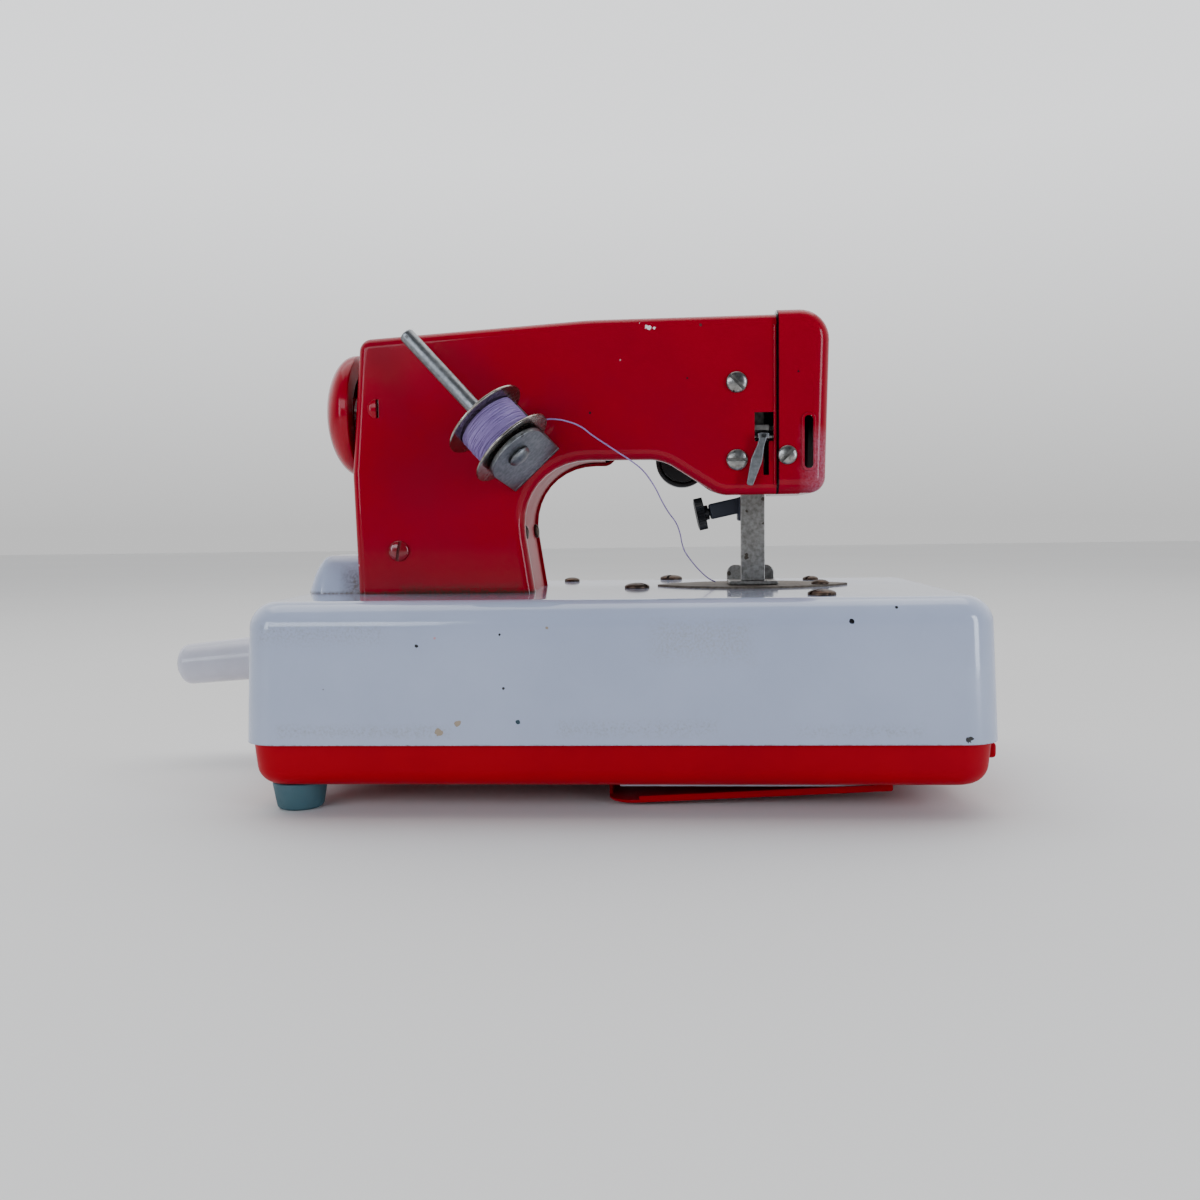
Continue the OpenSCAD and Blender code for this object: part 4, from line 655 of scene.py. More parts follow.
# white casing, open at the bed for the gears and the feed dog, and at the far side for the switch
casing = {
    "halfLength": 100.0, "halfDepth": 55.0, "seam": 19.4, "corner": 10.0, "edge": 7.0, "edgeSteps": 8,
    "taper": 1.4, "sheet": 1.0, "crankHole": 4.5, "openings": (
        ((-88, -3, 54), (-53, 3, 60)), ((-88, -7, 53.5), (-78, 7, 60.5)),
        ((-67, -16.2, 53), (-56.5, 16.2, 61)), ((33.5, -3, 54), (46.5, 21, 60)),
        ((-46.2, 49, 33.6), (-33.8, 57, 36.4)))}


def makeCasing():
    c = casing
    cuts = [sharpBlock(*corners) for corners in c["openings"]]
    cuts.append(rod(c["crankHole"], (-103, 0, crankHeight), (-94, 0, crankHeight), 40))
    placePiece(carved(pressedTub(c, bed, c["seam"]), *cuts), "casing", "top_casing", "whiteEnamel")


makeCasing()

# red pan with its clip and hinge lugs
pan = {
    "halfLength": 98.7, "halfDepth": 53.7, "low": 7.5, "high": 22.4, "corner": 8.7, "edge": 5.0,
    "edgeSteps": 7, "taper": 1.2, "sheet": 1.0, "doorway": ((-4.5, -41.5, 5), (73.5, 31.5, 10)),
    "clip": ((96.6, -40, 12.8), (101.6, -33, 17)), "lug": ((73.8, -2, 3.9), (77.2, 2, 7.7)),
    "lugPlaces": (-30, 17)}


def makePan():
    c = pan
    tub = carved(pressedTub(c, c["low"], c["high"]), sharpBlock(*c["doorway"]))
    lugs = [moved(softBlock(*c["lug"], 0.5, 2), Matrix.Translation((0, y, 0))) for y in c["lugPlaces"]]
    placePiece(joined(tub, softBlock(*c["clip"], 1.0, 3), *lugs), "pan", "base_pan", "panPaint")


makePan()
print("base shells made")

# the folded head covers
head = {
    "half": 20.0, "fold": 3.0, "sheet": 0.9, "end": 52.0, "flap": 4.0, "left": -76.0, "top": bed + 78.3,
    "leftTop": bed + 73.7, "throat": bed + 38.1, "throatFoot": -24.3, "lean": 5.8, "arch": 18.8,
    "nose": bed + 27.4, "corner": 3.6, "sunk": 12.0, "shaftHole": 4.0,
    "tab": ((-31.2, -19.15, bed + 14), (-29.6, -12, bed + 21)),
    "pinionOpening": ((-84, -3.2, 55), (-70, 3.2, bed + 4))}
rear = {
    "cuts": (  # the lifter's window and slot, and the louvre's slit
        ((39.2, -22, bed + 42.4), (44.7, -18, bed + 50.6)),
        ((41.6, -22.5, bed + 32.9), (43.2, -17.5, bed + 42.6)),
        ((-69.2, -22, bed + 51), (-68.5, -18, bed + 56.3))),
    "louvreSize": (2.7, 0.9, 2.85), "louvre": (-69.2, -20, bed + 53.65),
    "bead": ((44.5, -20.45, bed + 30), (45.35, -19.5, bed + 75))}
front = {"throatStep": 2.5, "noseStep": 1.2}


def headCorners(step, noseStep):
    c, throat, nose, beyond = head, head["throat"], head["nose"] + noseStep, head["end"] + 12
    footSlope = c["lean"] / (throat - bed)
    corners = [(c["left"], bed - c["sunk"], 0), (c["throatFoot"] + c["sunk"] * footSlope, bed - c["sunk"], 0),
               (c["throatFoot"] - c["lean"], throat, c["arch"])]
    if step:
        corners += [(-4, throat - 0.2, 3.4), (-1.5, throat - 0.2 + step, 1.5)]
    return corners + [
        (13, throat - 0.3 + step, 12), (29.2, nose, 8), (beyond, nose, 0), (beyond, c["top"], 0),
        (-8, c["top"] - 0.5, 100), (c["left"] + 2, c["leftTop"], c["corner"]),
        (c["left"] - 1.2, bed + 35, 20)]


def coverShell(step, noseStep):
    c = head
    bm = sheetFace(headCorners(step, noseStep), -c["half"])
    pushed(bm, bm.faces[:], (0, c["half"] - 0.05, 0))
    bevelled(bm, [e for e in bm.edges if all(v.co.y < -c["half"] + 0.01 for v in e.verts)], c["fold"], 6)
    dropFaces(bm, lambda place, normal: place.y > -0.1)
    trimmed(bm, (0, 0, bed + 0.02), (0, 0, -1))
    trimmed(bm, (c["end"], 0, 0), (1, 0, 0))
    flap = -c["half"] + c["flap"]
    split(bm, (0, flap, 0), (0, 1, 0), False)
    dropFaces(bm, lambda place, normal: place.y > flap and place.x > -33 and place.z < c["throat"] + 3)
    return shelled(bm, c["sheet"], True)


def columnCuts():
    hole = rod(head["shaftHole"], (-84, 0, mainHeight), (-70, 0, mainHeight))
    return [sharpBlock(*head["pinionOpening"]), hole]


def makeLouvre():
    bm = bmesh.new()
    bmesh.ops.create_uvsphere(bm, u_segments=24, v_segments=12, radius=1)
    bmesh.ops.scale(bm, vec=rear["louvreSize"], verts=bm.verts)
    bmesh.ops.translate(bm, vec=rear["louvre"], verts=bm.verts)
    trimmed(bm, (rear["louvre"][0], 0, 0), (1, 0, 0))
    trimmed(bm, (0, -19.8, 0), (0, 1, 0))
    bmesh.ops.holes_fill(bm, edges=bm.edges, sides=0)
    return bm


def makeRearCover():
    cuts = [sharpBlock(*corners) for corners in rear["cuts"]] + columnCuts()
    shell = carved(coverShell(0, 0), *cuts)
    whole = joined(shell, makeLouvre(), softBlock(*head["tab"], 0.3), softBlock(*rear["bead"], 0.35, 3))
    placePiece(whole, "rearCover", "rear_cover", "headPaint")


def makeFrontCover():
    shell = carved(coverShell(front["throatStep"], front["noseStep"]), *columnCuts())
    whole = joined(shell, softBlock(*head["tab"], 0.3))
    bmesh.ops.scale(whole, vec=(1, -1, 1), verts=whole.verts)
    bmesh.ops.reverse_faces(whole, faces=whole.faces)
    placePiece(whole, "frontCover", "front_cover", "headPaint")


makeRearCover()
makeFrontCover()

# the cap over the needle end, with a lipped slot in each side
cap = {
    "start": 45.6, "end": 60.5, "half": 21.05, "edge": 4.05, "low": bed + 27.6, "high": bed + 79.35,
    "corner": 8.5, "lowCorner": 4.6, "sheet": 0.9, "slot": (53.0, bed + 34.6, 55.5, bed + 49.4),
    "slotCorner": 1.1, "lip": 0.8}


def slotBar(y, depth, grow):
    left, low, right, high = cap["slot"]
    left, low, right, high = left - grow, low - grow, right + grow, high + grow
    corner = cap["slotCorner"] + grow
    return thickened(sheetFace([(x, z, corner) for x, z in (
        (left, low), (right, low), (right, high), (left, high))], y, 6), (0, depth, 0))


def makeCap():
    c, inside = cap, 30
    bm = sheetFace([(inside, c["low"], 0), (c["end"] - 1.3, c["low"], c["lowCorner"]),
                    (c["end"] + 0.2, c["high"], c["corner"]), (inside, c["high"], 0)], -c["half"])
    pushed(bm, bm.faces[:], (0, 2 * c["half"], 0))
    rim = [e for e in bm.edges if all(abs(v.co.y) > c["half"] - 0.01 for v in e.verts)
           and e.verts[0].co.y * e.verts[1].co.y > 0]
    bevelled(bm, rim, c["edge"], 7)
    trimmed(bm, (c["start"], 0, 0), (-1, 0, 0))
    dropFaces(bm, lambda place, normal: normal.z < -0.99 and place.z < c["low"] + 0.2 and abs(place.y) < 5)
    bm = shelled(bm, c["sheet"], True)
    lips = []
    for y in (-c["half"], c["half"]):
        bm = carved(bm, slotBar(y - 4, 8, 0))
        lip = slotBar(y - 0.5, 1.0, c["lip"])
        bevelled(lip, levelEdges(lip, 1), 0.35, 3)
        lips.append(carved(lip, slotBar(y - 4, 8, 0)))
    placePiece(joined(bm, *lips), "faceCap", "face_cap", "headPaint")


makeCap()
print("head shells made")

# handwheel: a dome with its rim turned in
wheel = {"left": -88.2, "width": 9.9, "dome": 8.8, "radius": 18.3, "sheet": 1.6, "opening": 12.0, "rim": 1.2,
         "hub": 5.5, "hubShort": 1.5, "bore": 2.52}
alongX = turned(90, "Y")


def makeWheel():
    c, r, w, inner = wheel, wheel["radius"], wheel["width"], wheel["radius"] - wheel["sheet"]
    hubEnd = w - c["hubShort"]
    rim = roundedPath([
        (r, c["dome"], 0), (r, w, 0.5), (c["opening"], w, 0.2), (c["opening"], w - c["rim"], 0.2),
        (inner, w - c["rim"], 0.3), (inner, c["dome"] - 0.9, 0)], 4)
    hub = [(c["hub"], 2.05), (c["hub"], hubEnd), (c["bore"], hubEnd), (c["bore"], 0.1)]
    outside = domePath(r, c["dome"], c["dome"], range(10, 91, 2))
    inside = domePath(inner, c["dome"] - c["sheet"], c["dome"], range(82, 18, -3))
    path = [Vector(hub[-1])] + outside + rim[1:-1] + inside + [Vector(p) for p in hub]
    bm = moved(spun(path, 96), Matrix.Translation((c["left"], 0, mainHeight)) @ alongX)
    placePiece(bm, "handwheel", "handwheel", "headPaint", 40)


makeWheel()

# white hump over the lay pinion, beside the column's foot; each step is an inset and a rise
hump = {"left": -94.0, "right": -70.0, "half": 15.0, "corner": 7.0, "cut": -76.6, "sheet": 1.0,
        "steps": ((1.6, 5.0), (0.9, 2.0), (0.9, 1.5), (1.0, 1.3), (1.0, 0.9), (1.1, 0.4))}


def makeHump():
    c, half = hump, hump["half"]
    bm = levelFace(((c["right"], -half), (c["right"], half), (c["left"], half), (c["left"], -half)), bed)
    roundVerts(bm, [((c["left"], y, bed), c["corner"]) for y in (-half, half)], 8)
    bmesh.ops.recalc_face_normals(bm, faces=bm.faces)
    crown = bm.faces[:]
    if crown[0].normal.z < 0:
        bmesh.ops.reverse_faces(bm, faces=crown)
    for inset, rise in c["steps"]:
        bmesh.ops.inset_region(bm, faces=crown, thickness=inset, depth=rise, use_boundary=True,
                               use_even_offset=True)
    trimmed(bm, (c["cut"], 0, 0), (1, 0, 0))
    placePiece(shelled(bm, c["sheet"]), "gearHump", "gear_cover", "humpEnamel", 60)


makeHump()

# the red strip inside the throat, following the covers' arch
strip = {"inset": 0.95, "sheet": 0.9, "half": 17.0, "end": -5.0}


def makeStrip():
    c, d, throat = strip, strip["inset"], head["throat"] + strip["inset"]
    lean = Vector((-head["lean"], head["throat"] - bed)).normalized()
    start = Vector((head["throatFoot"], bed)) + Vector((-lean.y, lean.x)) * d
    bend = start + lean * ((throat - bed) / lean.y)
    path = roundedPath([(start.x, start.y, 0), (bend.x, throat, head["arch"] + d), (c["end"], throat, 0)], 16)
    bm = bmesh.new()
    verts = [bm.verts.new((p.x, -c["half"], p.y)) for p in path]
    edges = [bm.edges.new(pair) for pair in zip(verts, verts[1:])]
    made = bmesh.ops.extrude_edge_only(bm, edges=edges)["geom"]
    farEdge = [item for item in made if isinstance(item, bmesh.types.BMVert)]
    bmesh.ops.translate(bm, verts=farEdge, vec=(0, 2 * c["half"], 0))
    if sum(f.normal.x for f in bm.faces) < 0:
        bmesh.ops.reverse_faces(bm, faces=bm.faces)
    placePiece(walled(bm, c["sheet"]), "throatStrip", "throat_strip", "stripPaint")


makeStrip()


# slotted screws, drawn upright with the head above the origin
screwForm = {"shank": 1.5, "slotWidth": 0.9, "slotFloor": 0.2, "rim": 0.3, "chamfer": 0.1}


def screwMesh(radius, height, shankLength, slotTurn):
    c, rim = screwForm, screwForm["rim"]
    angles = [math.radians(a) for a in range(0, 91, 9)]
    dome = [Vector((radius * math.cos(a), height * (rim + (1 - rim) * math.sin(a)))) for a in angles]
    path = [Vector(p) for p in ((0, -shankLength), (c["shank"], -shankLength), (c["shank"], 0),
                                (radius - c["chamfer"], 0), (radius, c["chamfer"]))] + dome
    slot = sharpBlock((-radius - 1, -c["slotWidth"] / 2, height * c["slotFloor"]),
                      (radius + 1, c["slotWidth"] / 2, height + 1))
    return carved(spun(path, 36), moved(slot, turned(slotTurn, "Z")))


upright, nearSide, farSide, acrossThroat = Matrix(), turned(90, "X"), turned(-90, "X"), turned(81.34, "Y")
# each screw: place, facing, head radius, head height, shank length, turn of its slot
screwSets = {
    "bedScrews": ("bed_screws", "bronze", [
        ((-18.5, 40.5, bed), upright, 2.6, 1.4, 4.5, 20), ((15.4, 47.1, bed), upright, 3.8, 1.6, 9, 70),
        ((4.9, -0.7, bed), upright, 3.8, 1.6, 4.5, -35), ((61.7, 34.8, bed), upright, 2.6, 1.4, 9, 50),
        ((60.3, 0.5, bed + 0.6), upright, 2.6, 1.4, 4, -10), ((55.3, -40.2, bed), upright, 3.8, 1.6, 9, 30)]),
    "headScrews": ("head_screws", "screwSteel", [
        ((34.2, -20, bed + 59.1), nearSide, 3, 1.4, 3.4, 135),
        ((34.2, -20, bed + 37.3), nearSide, 3, 1.4, 3.4, 0),
        ((48.3, -21.05, bed + 38.4), nearSide, 2.7, 1.3, 3.4, 45),
        ((48.3, 21.05, bed + 38.4), farSide, 2.7, 1.3, 3.4, 20)]),
    "columnScrews": ("column_screw", "screwPaint", [
        ((-63.6, -20, bed + 12.6), nearSide, 3, 1.4, 3.4, 80), ((-63.6, 20, 70), farSide, 3, 1.4, 3.4, 30),
        ((-63.6, 20, 112), farSide, 3, 1.4, 3.4, 30)]),
    "throatScrews": ("throat_screws", "bronze", [
        ((-27.63, y, bed + 17.55), acrossThroat, 2.2, 1.2, 5, 35) for y in (-13.4, 13.4)])}
for name, (node, finish, screws) in screwSets.items():
    heads = [moved(screwMesh(*sizes), Matrix.Translation(place) @ facing) for place, facing, *sizes in screws]
    placePiece(joined(*heads), name, node, finish, 40)
print("screws made")

# rubber feet, each with a neck through the pan
foot = {"places": ((-87.5, 42), (-87.5, -42), (87.5, 0)), "sole": 6.2, "top": 7.5, "height": 7.49,
        "neck": 3.0, "panInside": 8.52}


def makeFeet():
    c, top, inside = foot, foot["height"], foot["panInside"]
    path = roundedPath([(0, 0, 0), (c["sole"], 0, 1.3), (c["top"], top, 0.5), (c["neck"], top, 0.2),
                        (c["neck"], inside, 0), (4.2, inside, 0.2), (3.6, 10, 0.8), (0, 10.2, 0)], 6)
    shapes = [moved(spun(path, 48), Matrix.Translation((x, y, 0))) for x, y in c["places"]]
    placePiece(joined(*shapes), "rubberFeet", "rubber_feet", "rubber", 45)


makeFeet()

# crank: arm, pin and white grip
crank = {"reach": 22.0, "face": -105.5, "tilt": 5.1, "length": 41.4, "inner": 7.3, "outer": 6.65,
         "bore": 2.45, "mouth": 3.9, "mouthDepth": 4.8, "gap": 1.5, "armHalf": 4.5, "armThick": 3.0,
         "boss": 5.0, "pin": 2.4, "pinHead": 3.6, "pinLength": 38.6, "headThick": 1.3}
gripTurn = Matrix.Translation((crank["face"], crank["reach"], crankHeight)) @ turned(-90 - crank["tilt"], "Y")


def makeCrank():
    c, end, bottom = crank, crank["length"], crank["length"] - crank["mouthDepth"]
    grip = spun(roundedPath([
        (c["bore"], 0, 0), (c["inner"], 0, 1.2), (c["inner"], 5, 20), (c["outer"], end, 3.2),
        (c["mouth"], end, 0.5), (c["mouth"], bottom, 0), (c["bore"], bottom, 0), (c["bore"], 0, 0)], 8), 56)
    moved(grip, gripTurn @ Matrix.Translation((0, 0, c["gap"])))
    placePiece(grip, "crankGrip", "crank_grip", "whitePlastic", 40)
    half, tip, roundEnd = c["armHalf"], c["reach"] + c["armHalf"], c["armHalf"] - 0.1
    arm = sheetFace([(x, z, roundEnd) for x, z in ((0, -half), (tip, -half), (tip, half), (0, half))], 0, 8)
    thickened(arm, (0, c["armThick"], 0))
    bmesh.ops.translate(arm, verts=arm.verts, vec=(-4.8, 0, 0))
    bevelled(arm, levelEdges(arm, 1), 0.3, 2)
    flip = turned(-90, "Z") @ Matrix.Scale(-1, 4, (1, 0, 0))
    moved(arm, Matrix.Translation((c["face"], 0, crankHeight)) @ flip)
    bmesh.ops.recalc_face_normals(arm, faces=arm.faces)
    boss = rod(c["boss"], (c["face"] + 0.2, 0, crankHeight), (c["face"] + 4, 0, crankHeight), 40)
    neck, top = c["pinLength"], c["pinLength"] + c["headThick"]
    pin = spun(roundedPath([(0, -0.9, 0), (c["pin"], -0.9, 0), (c["pin"], neck, 0), (c["pinHead"], neck, 0.2),
                            (c["pinHead"], top, 0.8), (0, top, 0)], 4), 32)
    placePiece(joined(arm, boss, moved(pin, gripTurn)), "crankArm", "crank_arm", "steel", 40)


makeCrank()

# spool: slanted pin on a bent bracket, bobbin and winding
spool = {
    "place": (-26.8, -36.5, 96.6), "lean": -43.0, "tip": -11.0, "tongueTip": -15.5, "tongue": 8.9,
    "thick": 1.4, "pin": 2.15, "seat": 2.55, "step": 14.5, "length": 47.0, "domeSeat": 1.684,
    "domeRadius": 3.3, "domeHigh": 1.6, "plate": (-5.9, 12.2), "flange": 12.5, "low": 1.1, "high": 13.0,
    "hub": 3.75}


def leaned(tip):
    return Matrix.Translation(spool["place"]) @ turned(spool["lean"], "Y") @ turned(tip, "X")


spoolTurn, tongueTurn = leaned(spool["tip"]), leaned(spool["tongueTip"])


def makeBracket():
    c, r = spool, spool["tongue"]
    tongue = levelFace(((-r, 20), (-r, -r), (r, -r), (r, 20)), 0)
    roundVerts(tongue, [((-r, -r, 0), r - 0.02), ((r, -r, 0), r - 0.02)], 20)
    thickened(tongue, (0, 0, -c["thick"]))
    bevelled(tongue, levelEdges(tongue, 2), 0.3, 3)
    moved(tongue, tongueTurn)
    trimmed(tongue, (0, -20.05, 0), (0, 1, 0))
    back = softBlock((-r, -21.4, c["plate"][0]), (r, -20.01, c["plate"][1]), 0.35, 3)
    moved(back, Matrix.Translation((c["place"][0], 0, c["place"][2])) @ turned(c["lean"], "Y"))
    placePiece(joined(tongue, back), "spoolBracket", "spool_bracket", "greySteel", 40)


def makeSpool():
    c = spool
    dome = domePath(c["domeRadius"], c["domeHigh"], -c["domeSeat"], range(0, 91, 6))
    shaft = roundedPath([
        (c["seat"], -c["domeSeat"], 0), (c["seat"], c["high"] + 0.3, 0), (c["pin"], c["step"], 0),
        (c["pin"], c["length"], 0.7), (0, c["length"], 0)], 6)
    placePiece(moved(spun(dome + shaft, 48), spoolTurn), "spoolPin", "spool_pin", "greySteel", 50)
    f, bore = c["flange"], c["seat"] + 0.05
    # one flange: radius, depth from its outer face, rounding
    half = [(bore, 0, 0), (4.8, 0, 0.3), (5.8, 0.25, 0.6), (f - 1.4, 0.05, 3), (f - 0.05, 0, 0.2),
            (f, 0.7, 0.3), (f - 1.6, 0.72, 2), (c["hub"], 0.75, 0.2)]
    lower = [(r, c["low"] + d, bend) for r, d, bend in half]
    upper = [(r, c["high"] - d, bend) for r, d, bend in reversed(half)]
    path = roundedPath(lower + upper + [(bore, c["low"], 0)], 4)
    placePiece(moved(spun(path, 72), spoolTurn), "bobbin", "bobbin", "bobbinSteel", 40)


# each layer: radius, first turn's height, turns, pitch, thread thickness, sideways wander, seed
winding = {
    "core": 8.3, "low": 1.85, "high": 12.25, "steps": 28, "uneven": 0.012, "layers": (
        (8.42, 2.1, 23.5, 0.42, 0.44, 0.12, 1.0), (8.62, 2.3, 17, 0.56, 0.42, 0.35, 5.0),
        (8.72, 11.8, 12.5, -0.75, 0.4, 0.45, 9.0))}


def woundLayer(radius, lowEnd, turns, pitch, thickness, wander, seed):
    c = winding
    bm = coiled(radius, thickness, lowEnd, turns, pitch, c["steps"], 7)
    for v in bm.verts:
        turn = math.atan2(v.co.y, v.co.x)
        sway = noise.noise(Vector((math.cos(turn) * 1.3, math.sin(turn) * 1.3, v.co.z * 0.9 + seed)))
        v.co.z = min(max(v.co.z + wander * sway, c["low"]), c["high"])
        swell = noise.noise(Vector((math.cos(turn) * 2, math.sin(turn) * 2, v.co.z * 2 + seed)))
        v.co.xy *= 1 + c["uneven"] * swell
    bmesh.ops.recalc_face_normals(bm, faces=bm.faces)
    return bm


def makeWinding():
    c = winding
    bore, middle = spool["hub"] + 0.05, (c["low"] + c["high"]) / 2
    core = spun(roundedPath([(bore, c["low"], 0), (c["core"], c["low"], 0.3), (c["core"] - 0.15, middle, 30),
                             (c["core"], c["high"], 0.3), (bore, c["high"], 0)], 6), 48)
    whole = moved(joined(core, *[woundLayer(*row) for row in c["layers"]]), spoolTurn)
    placePiece(whole, "threadWinding", "thread_winding", "lilac", 60, False)


makeBracket()
makeSpool()
makeWinding()
print("spool made")

# needle plate, a pointed oval with two slots for the feed dog and a needle hole
plate = {"centre": (40.3, 7.0), "halfLength": 29.2, "halfWidth": 17.0, "thick": 0.6, "slots": (35.5, 41.9),
         "slotWidth": 2.6, "hole": 1.2}
needleX, needleY = 40.0, 9.0


def makePlate():
    c = plate
    arc = (c["halfLength"] ** 2 + c["halfWidth"] ** 2) / (2 * c["halfWidth"])
    bm = bmesh.new()
    bmesh.ops.create_circle(bm, cap_ends=True, segments=240, radius=arc)
    bmesh.ops.translate(bm, verts=bm.verts, vec=(0, c["halfWidth"] - arc, 0))
    trimmed(bm, (0, 0, 0), (0, -1, 0))
    twin = moved(bm.copy(), Matrix.Scale(-1, 4, (0, 1, 0)))
    bm = joined(bm, twin)
    bmesh.ops.remove_doubles(bm, verts=bm.verts, dist=0.001)
    bmesh.ops.dissolve_limit(bm, angle_limit=0.001, verts=bm.verts, edges=bm.edges)
    bmesh.ops.recalc_face_normals(bm, faces=bm.faces)
    thickened(bm, (0, 0, c["thick"]))
    bevelled(bm, [e for e in bm.edges if all(v.co.z > c["thick"] - 0.01 for v in e.verts)], 0.12, 2)
    bmesh.ops.translate(bm, verts=bm.verts, vec=(*c["centre"], bed))
    cuts = [sharpBlock((x, -0.7, bed - 1), (x + c["slotWidth"], 18.7, bed + 2)) for x in c["slots"]]
    cuts.append(rod(c["hole"], (needleX, needleY, bed - 1), (needleX, needleY, bed + 2), 24))
    placePiece(carved(bm, *cuts), "needlePlate", "needle_plate", "plateSteel")


makePlate()

# presser: flat bar with its lifting lug, sole and two upturned toes
presser = {
    "half": 3.6, "barHalf": 0.75, "low": bed + 1.9, "top": bed + 55, "lug": bed + 45.7, "lugThick": 1.6,
    "sole": ((32.8, -3, bed + 0.75), (47.4, 12.3, bed + 1.88)),
    "notch": ((38.6, 5.5, bed), (41.4, 14, bed + 4)),
    "toes": (32.8, 41.6), "toeWidth": 5.8, "toeLow": bed + 0.9, "toeHigh": bed + 6.3, "toeThick": 1.2}


def makePresser():
    c, left, right = presser, needleX - presser["half"], needleX + presser["half"]
    bar = softBlock((left, -c["barHalf"], c["low"]), (right, c["barHalf"], c["top"]), 0.22, 3)
    lug = softBlock((left, -17.2, c["lug"]), (right, 0.5, c["lug"] + c["lugThick"]), 0.2)
    placePiece(joined(bar, lug), "presserBar", "presser_bar", "pitted")
    sole = carved(softBlock(*c["sole"], 0.25, 3), sharpBlock(*c["notch"]))
    toes = []
    for x in c["toes"]:
        outer, low, high = x + c["toeWidth"], c["toeLow"], c["toeHigh"]
        toe = sheetFace([(x, low, 0.3), (outer, low, 0.3), (outer, high, 2.6), (x, high, 2.6)], 11.3, 8)
        thickened(toe, (0, c["toeThick"], 0))
        bevelled(toe, levelEdges(toe, 1), 0.25, 3)
        toes.append(toe)
    placePiece(joined(sole, *toes), "presserFoot", "presser_foot", "pitted")


makePresser()

# presser spring: a coil between the bar's top and the frame's shelf
spring = {"wire": 0.9, "radius": 2.15, "turns": 7.5, "steps": 24, "lift": 5.0}


def makeSpring():
    c = spring
    lowEnd, highEnd = (corner.z * 1000 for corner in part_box("presser_spring"))
    pitch = (highEnd - lowEnd - c["wire"]) / c["turns"]
    coil = coiled(c["radius"], c["wire"], lowEnd + c["wire"] / 2, c["turns"], pitch, c["steps"], 8)
    bmesh.ops.recalc_face_normals(coil, faces=coil.faces)
    moved(coil, Matrix.Translation((needleX, 0, 0)))
    made = placePiece(coil, "presserSpring", "presser_spring", "steel", 60, False)
    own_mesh(made)


makeSpring()

# lifter: hub and neck inside the slot, thin pointed blade outside
lifter = {"y": -16.5, "height": bed + 43.8, "hub": 1.6, "left": 40.0, "right": 43.0, "face": -22.6,
          "neckHalf": 0.8, "bladeThick": 1.2, "bladeTurn": 16}


def makeLifter():
    c, z = lifter, lifter["height"]
    hub = rod(c["hub"], (c["left"], c["y"], z), (c["right"], c["y"], z), 32)
    neck = softBlock((c["left"], c["face"], z - c["neckHalf"]), (c["right"], c["y"], z + c["neckHalf"]), 0.25)
    blade = sheetFace([(-0.9, -14.4, 0.7), (0.9, -14.4, 0.7), (1.6, -7.0, 5), (1.0, -3.0, 3), (1.0, 0.8, 0.5),
                       (-1.0, 0.8, 0.5), (-1.0, -3.0, 3), (-1.6, -7.0, 5)], 0, 6)
    thickened(blade, (0, c["bladeThick"], 0))
    bevelled(blade, levelEdges(blade, 1), 0.25, 3)
    middle = (c["left"] + c["right"]) / 2
    moved(blade, Matrix.Translation((middle, c["face"], z)) @ turned(c["bladeTurn"], "Y"))
    placePiece(joined(hub, neck, blade), "lifterLever", "lifter_lever", "greySteel", 40)


makeLifter()

# needle clamp with its knurled thumb screw, and the needle
clamp = {"low": bed + 20, "high": bed + 27.4, "half": 4.0, "tilt": 12, "thumb": bed + 24.7,
         "arm": ((-1.5, -3, -2.4), (8.8, 3, 2.4)), "knurl": 5.0, "knurlPoints": 84, "knurlDepth": 0.935,
         "knurlThick": 2.6, "knurlPlace": 10.3, "needleTip": bed + 5.5, "needleSunk": 3.4}
thumbTurn = Matrix.Translation((36, needleY, clamp["thumb"])) @ turned(180 - clamp["tilt"], "Y")


def makeClamp():
    c, half = clamp, clamp["half"]
    block = softBlock((needleX - half, needleY - half, c["low"]),
                      (needleX + half, needleY + half, c["high"]), 0.6, 3)
    arm = moved(softBlock(*c["arm"], 0.6, 3), thumbTurn)
    placePiece(joined(block, arm), "needleClamp", "needle_clamp", "navy", 50)


def makeThumbScrew():
    c = clamp
    knurl = bmesh.new()
    bmesh.ops.create_circle(knurl, cap_ends=True, segments=c["knurlPoints"], radius=c["knurl"])
    for index, v in enumerate(knurl.verts):
        if index % 2:
            v.co *= c["knurlDepth"]
    outer = pushed(knurl, knurl.faces[:], (0, 0, c["knurlThick"]))
    bmesh.ops.recalc_face_normals(knurl, faces=knurl.faces)
    for inset, rise in ((0.7, 0.25), (0.6, -0.5)):
        bmesh.ops.inset_region(knurl, faces=outer, thickness=inset, depth=rise, use_even_offset=True)
    moved(knurl, Matrix.Translation((c["knurlPlace"], 0, 0)) @ alongX)
    neck = spun(roundedPath([(0, 2.6, 0), (1.2, 2.6, 0.2), (1.2, 9.1, 0), (2.3, 9.1, 0.2), (2.3, 10.4, 0),
                             (0, 10.4, 0)], 3), 32)
    whole = moved(joined(knurl, moved(neck, alongX)), thumbTurn)
    placePiece(whole, "thumbScrew", "thumb_screw", "black", 30, False)


def makeNeedle():
    tip, end = clamp["needleTip"], clamp["low"] + clamp["needleSunk"]
    needle = spun(roundedPath([(0, tip, 0), (0.24, tip + 1.4, 2), (0.48, tip + 4, 2), (0.48, tip + 9, 0.3),
                               (0.6, tip + 10, 0.3), (0.6, end, 0), (0, end, 0)], 4), 24)
    eye = sharpBlock((-0.11, -2, tip + 2.4), (0.11, 2, tip + 3.4))
    needle = moved(carved(needle, eye), Matrix.Translation((needleX, needleY, 0)))
    placePiece(needle, "needle", "needle", "steel", 40)


makeClamp()
makeThumbScrew()
makeNeedle()

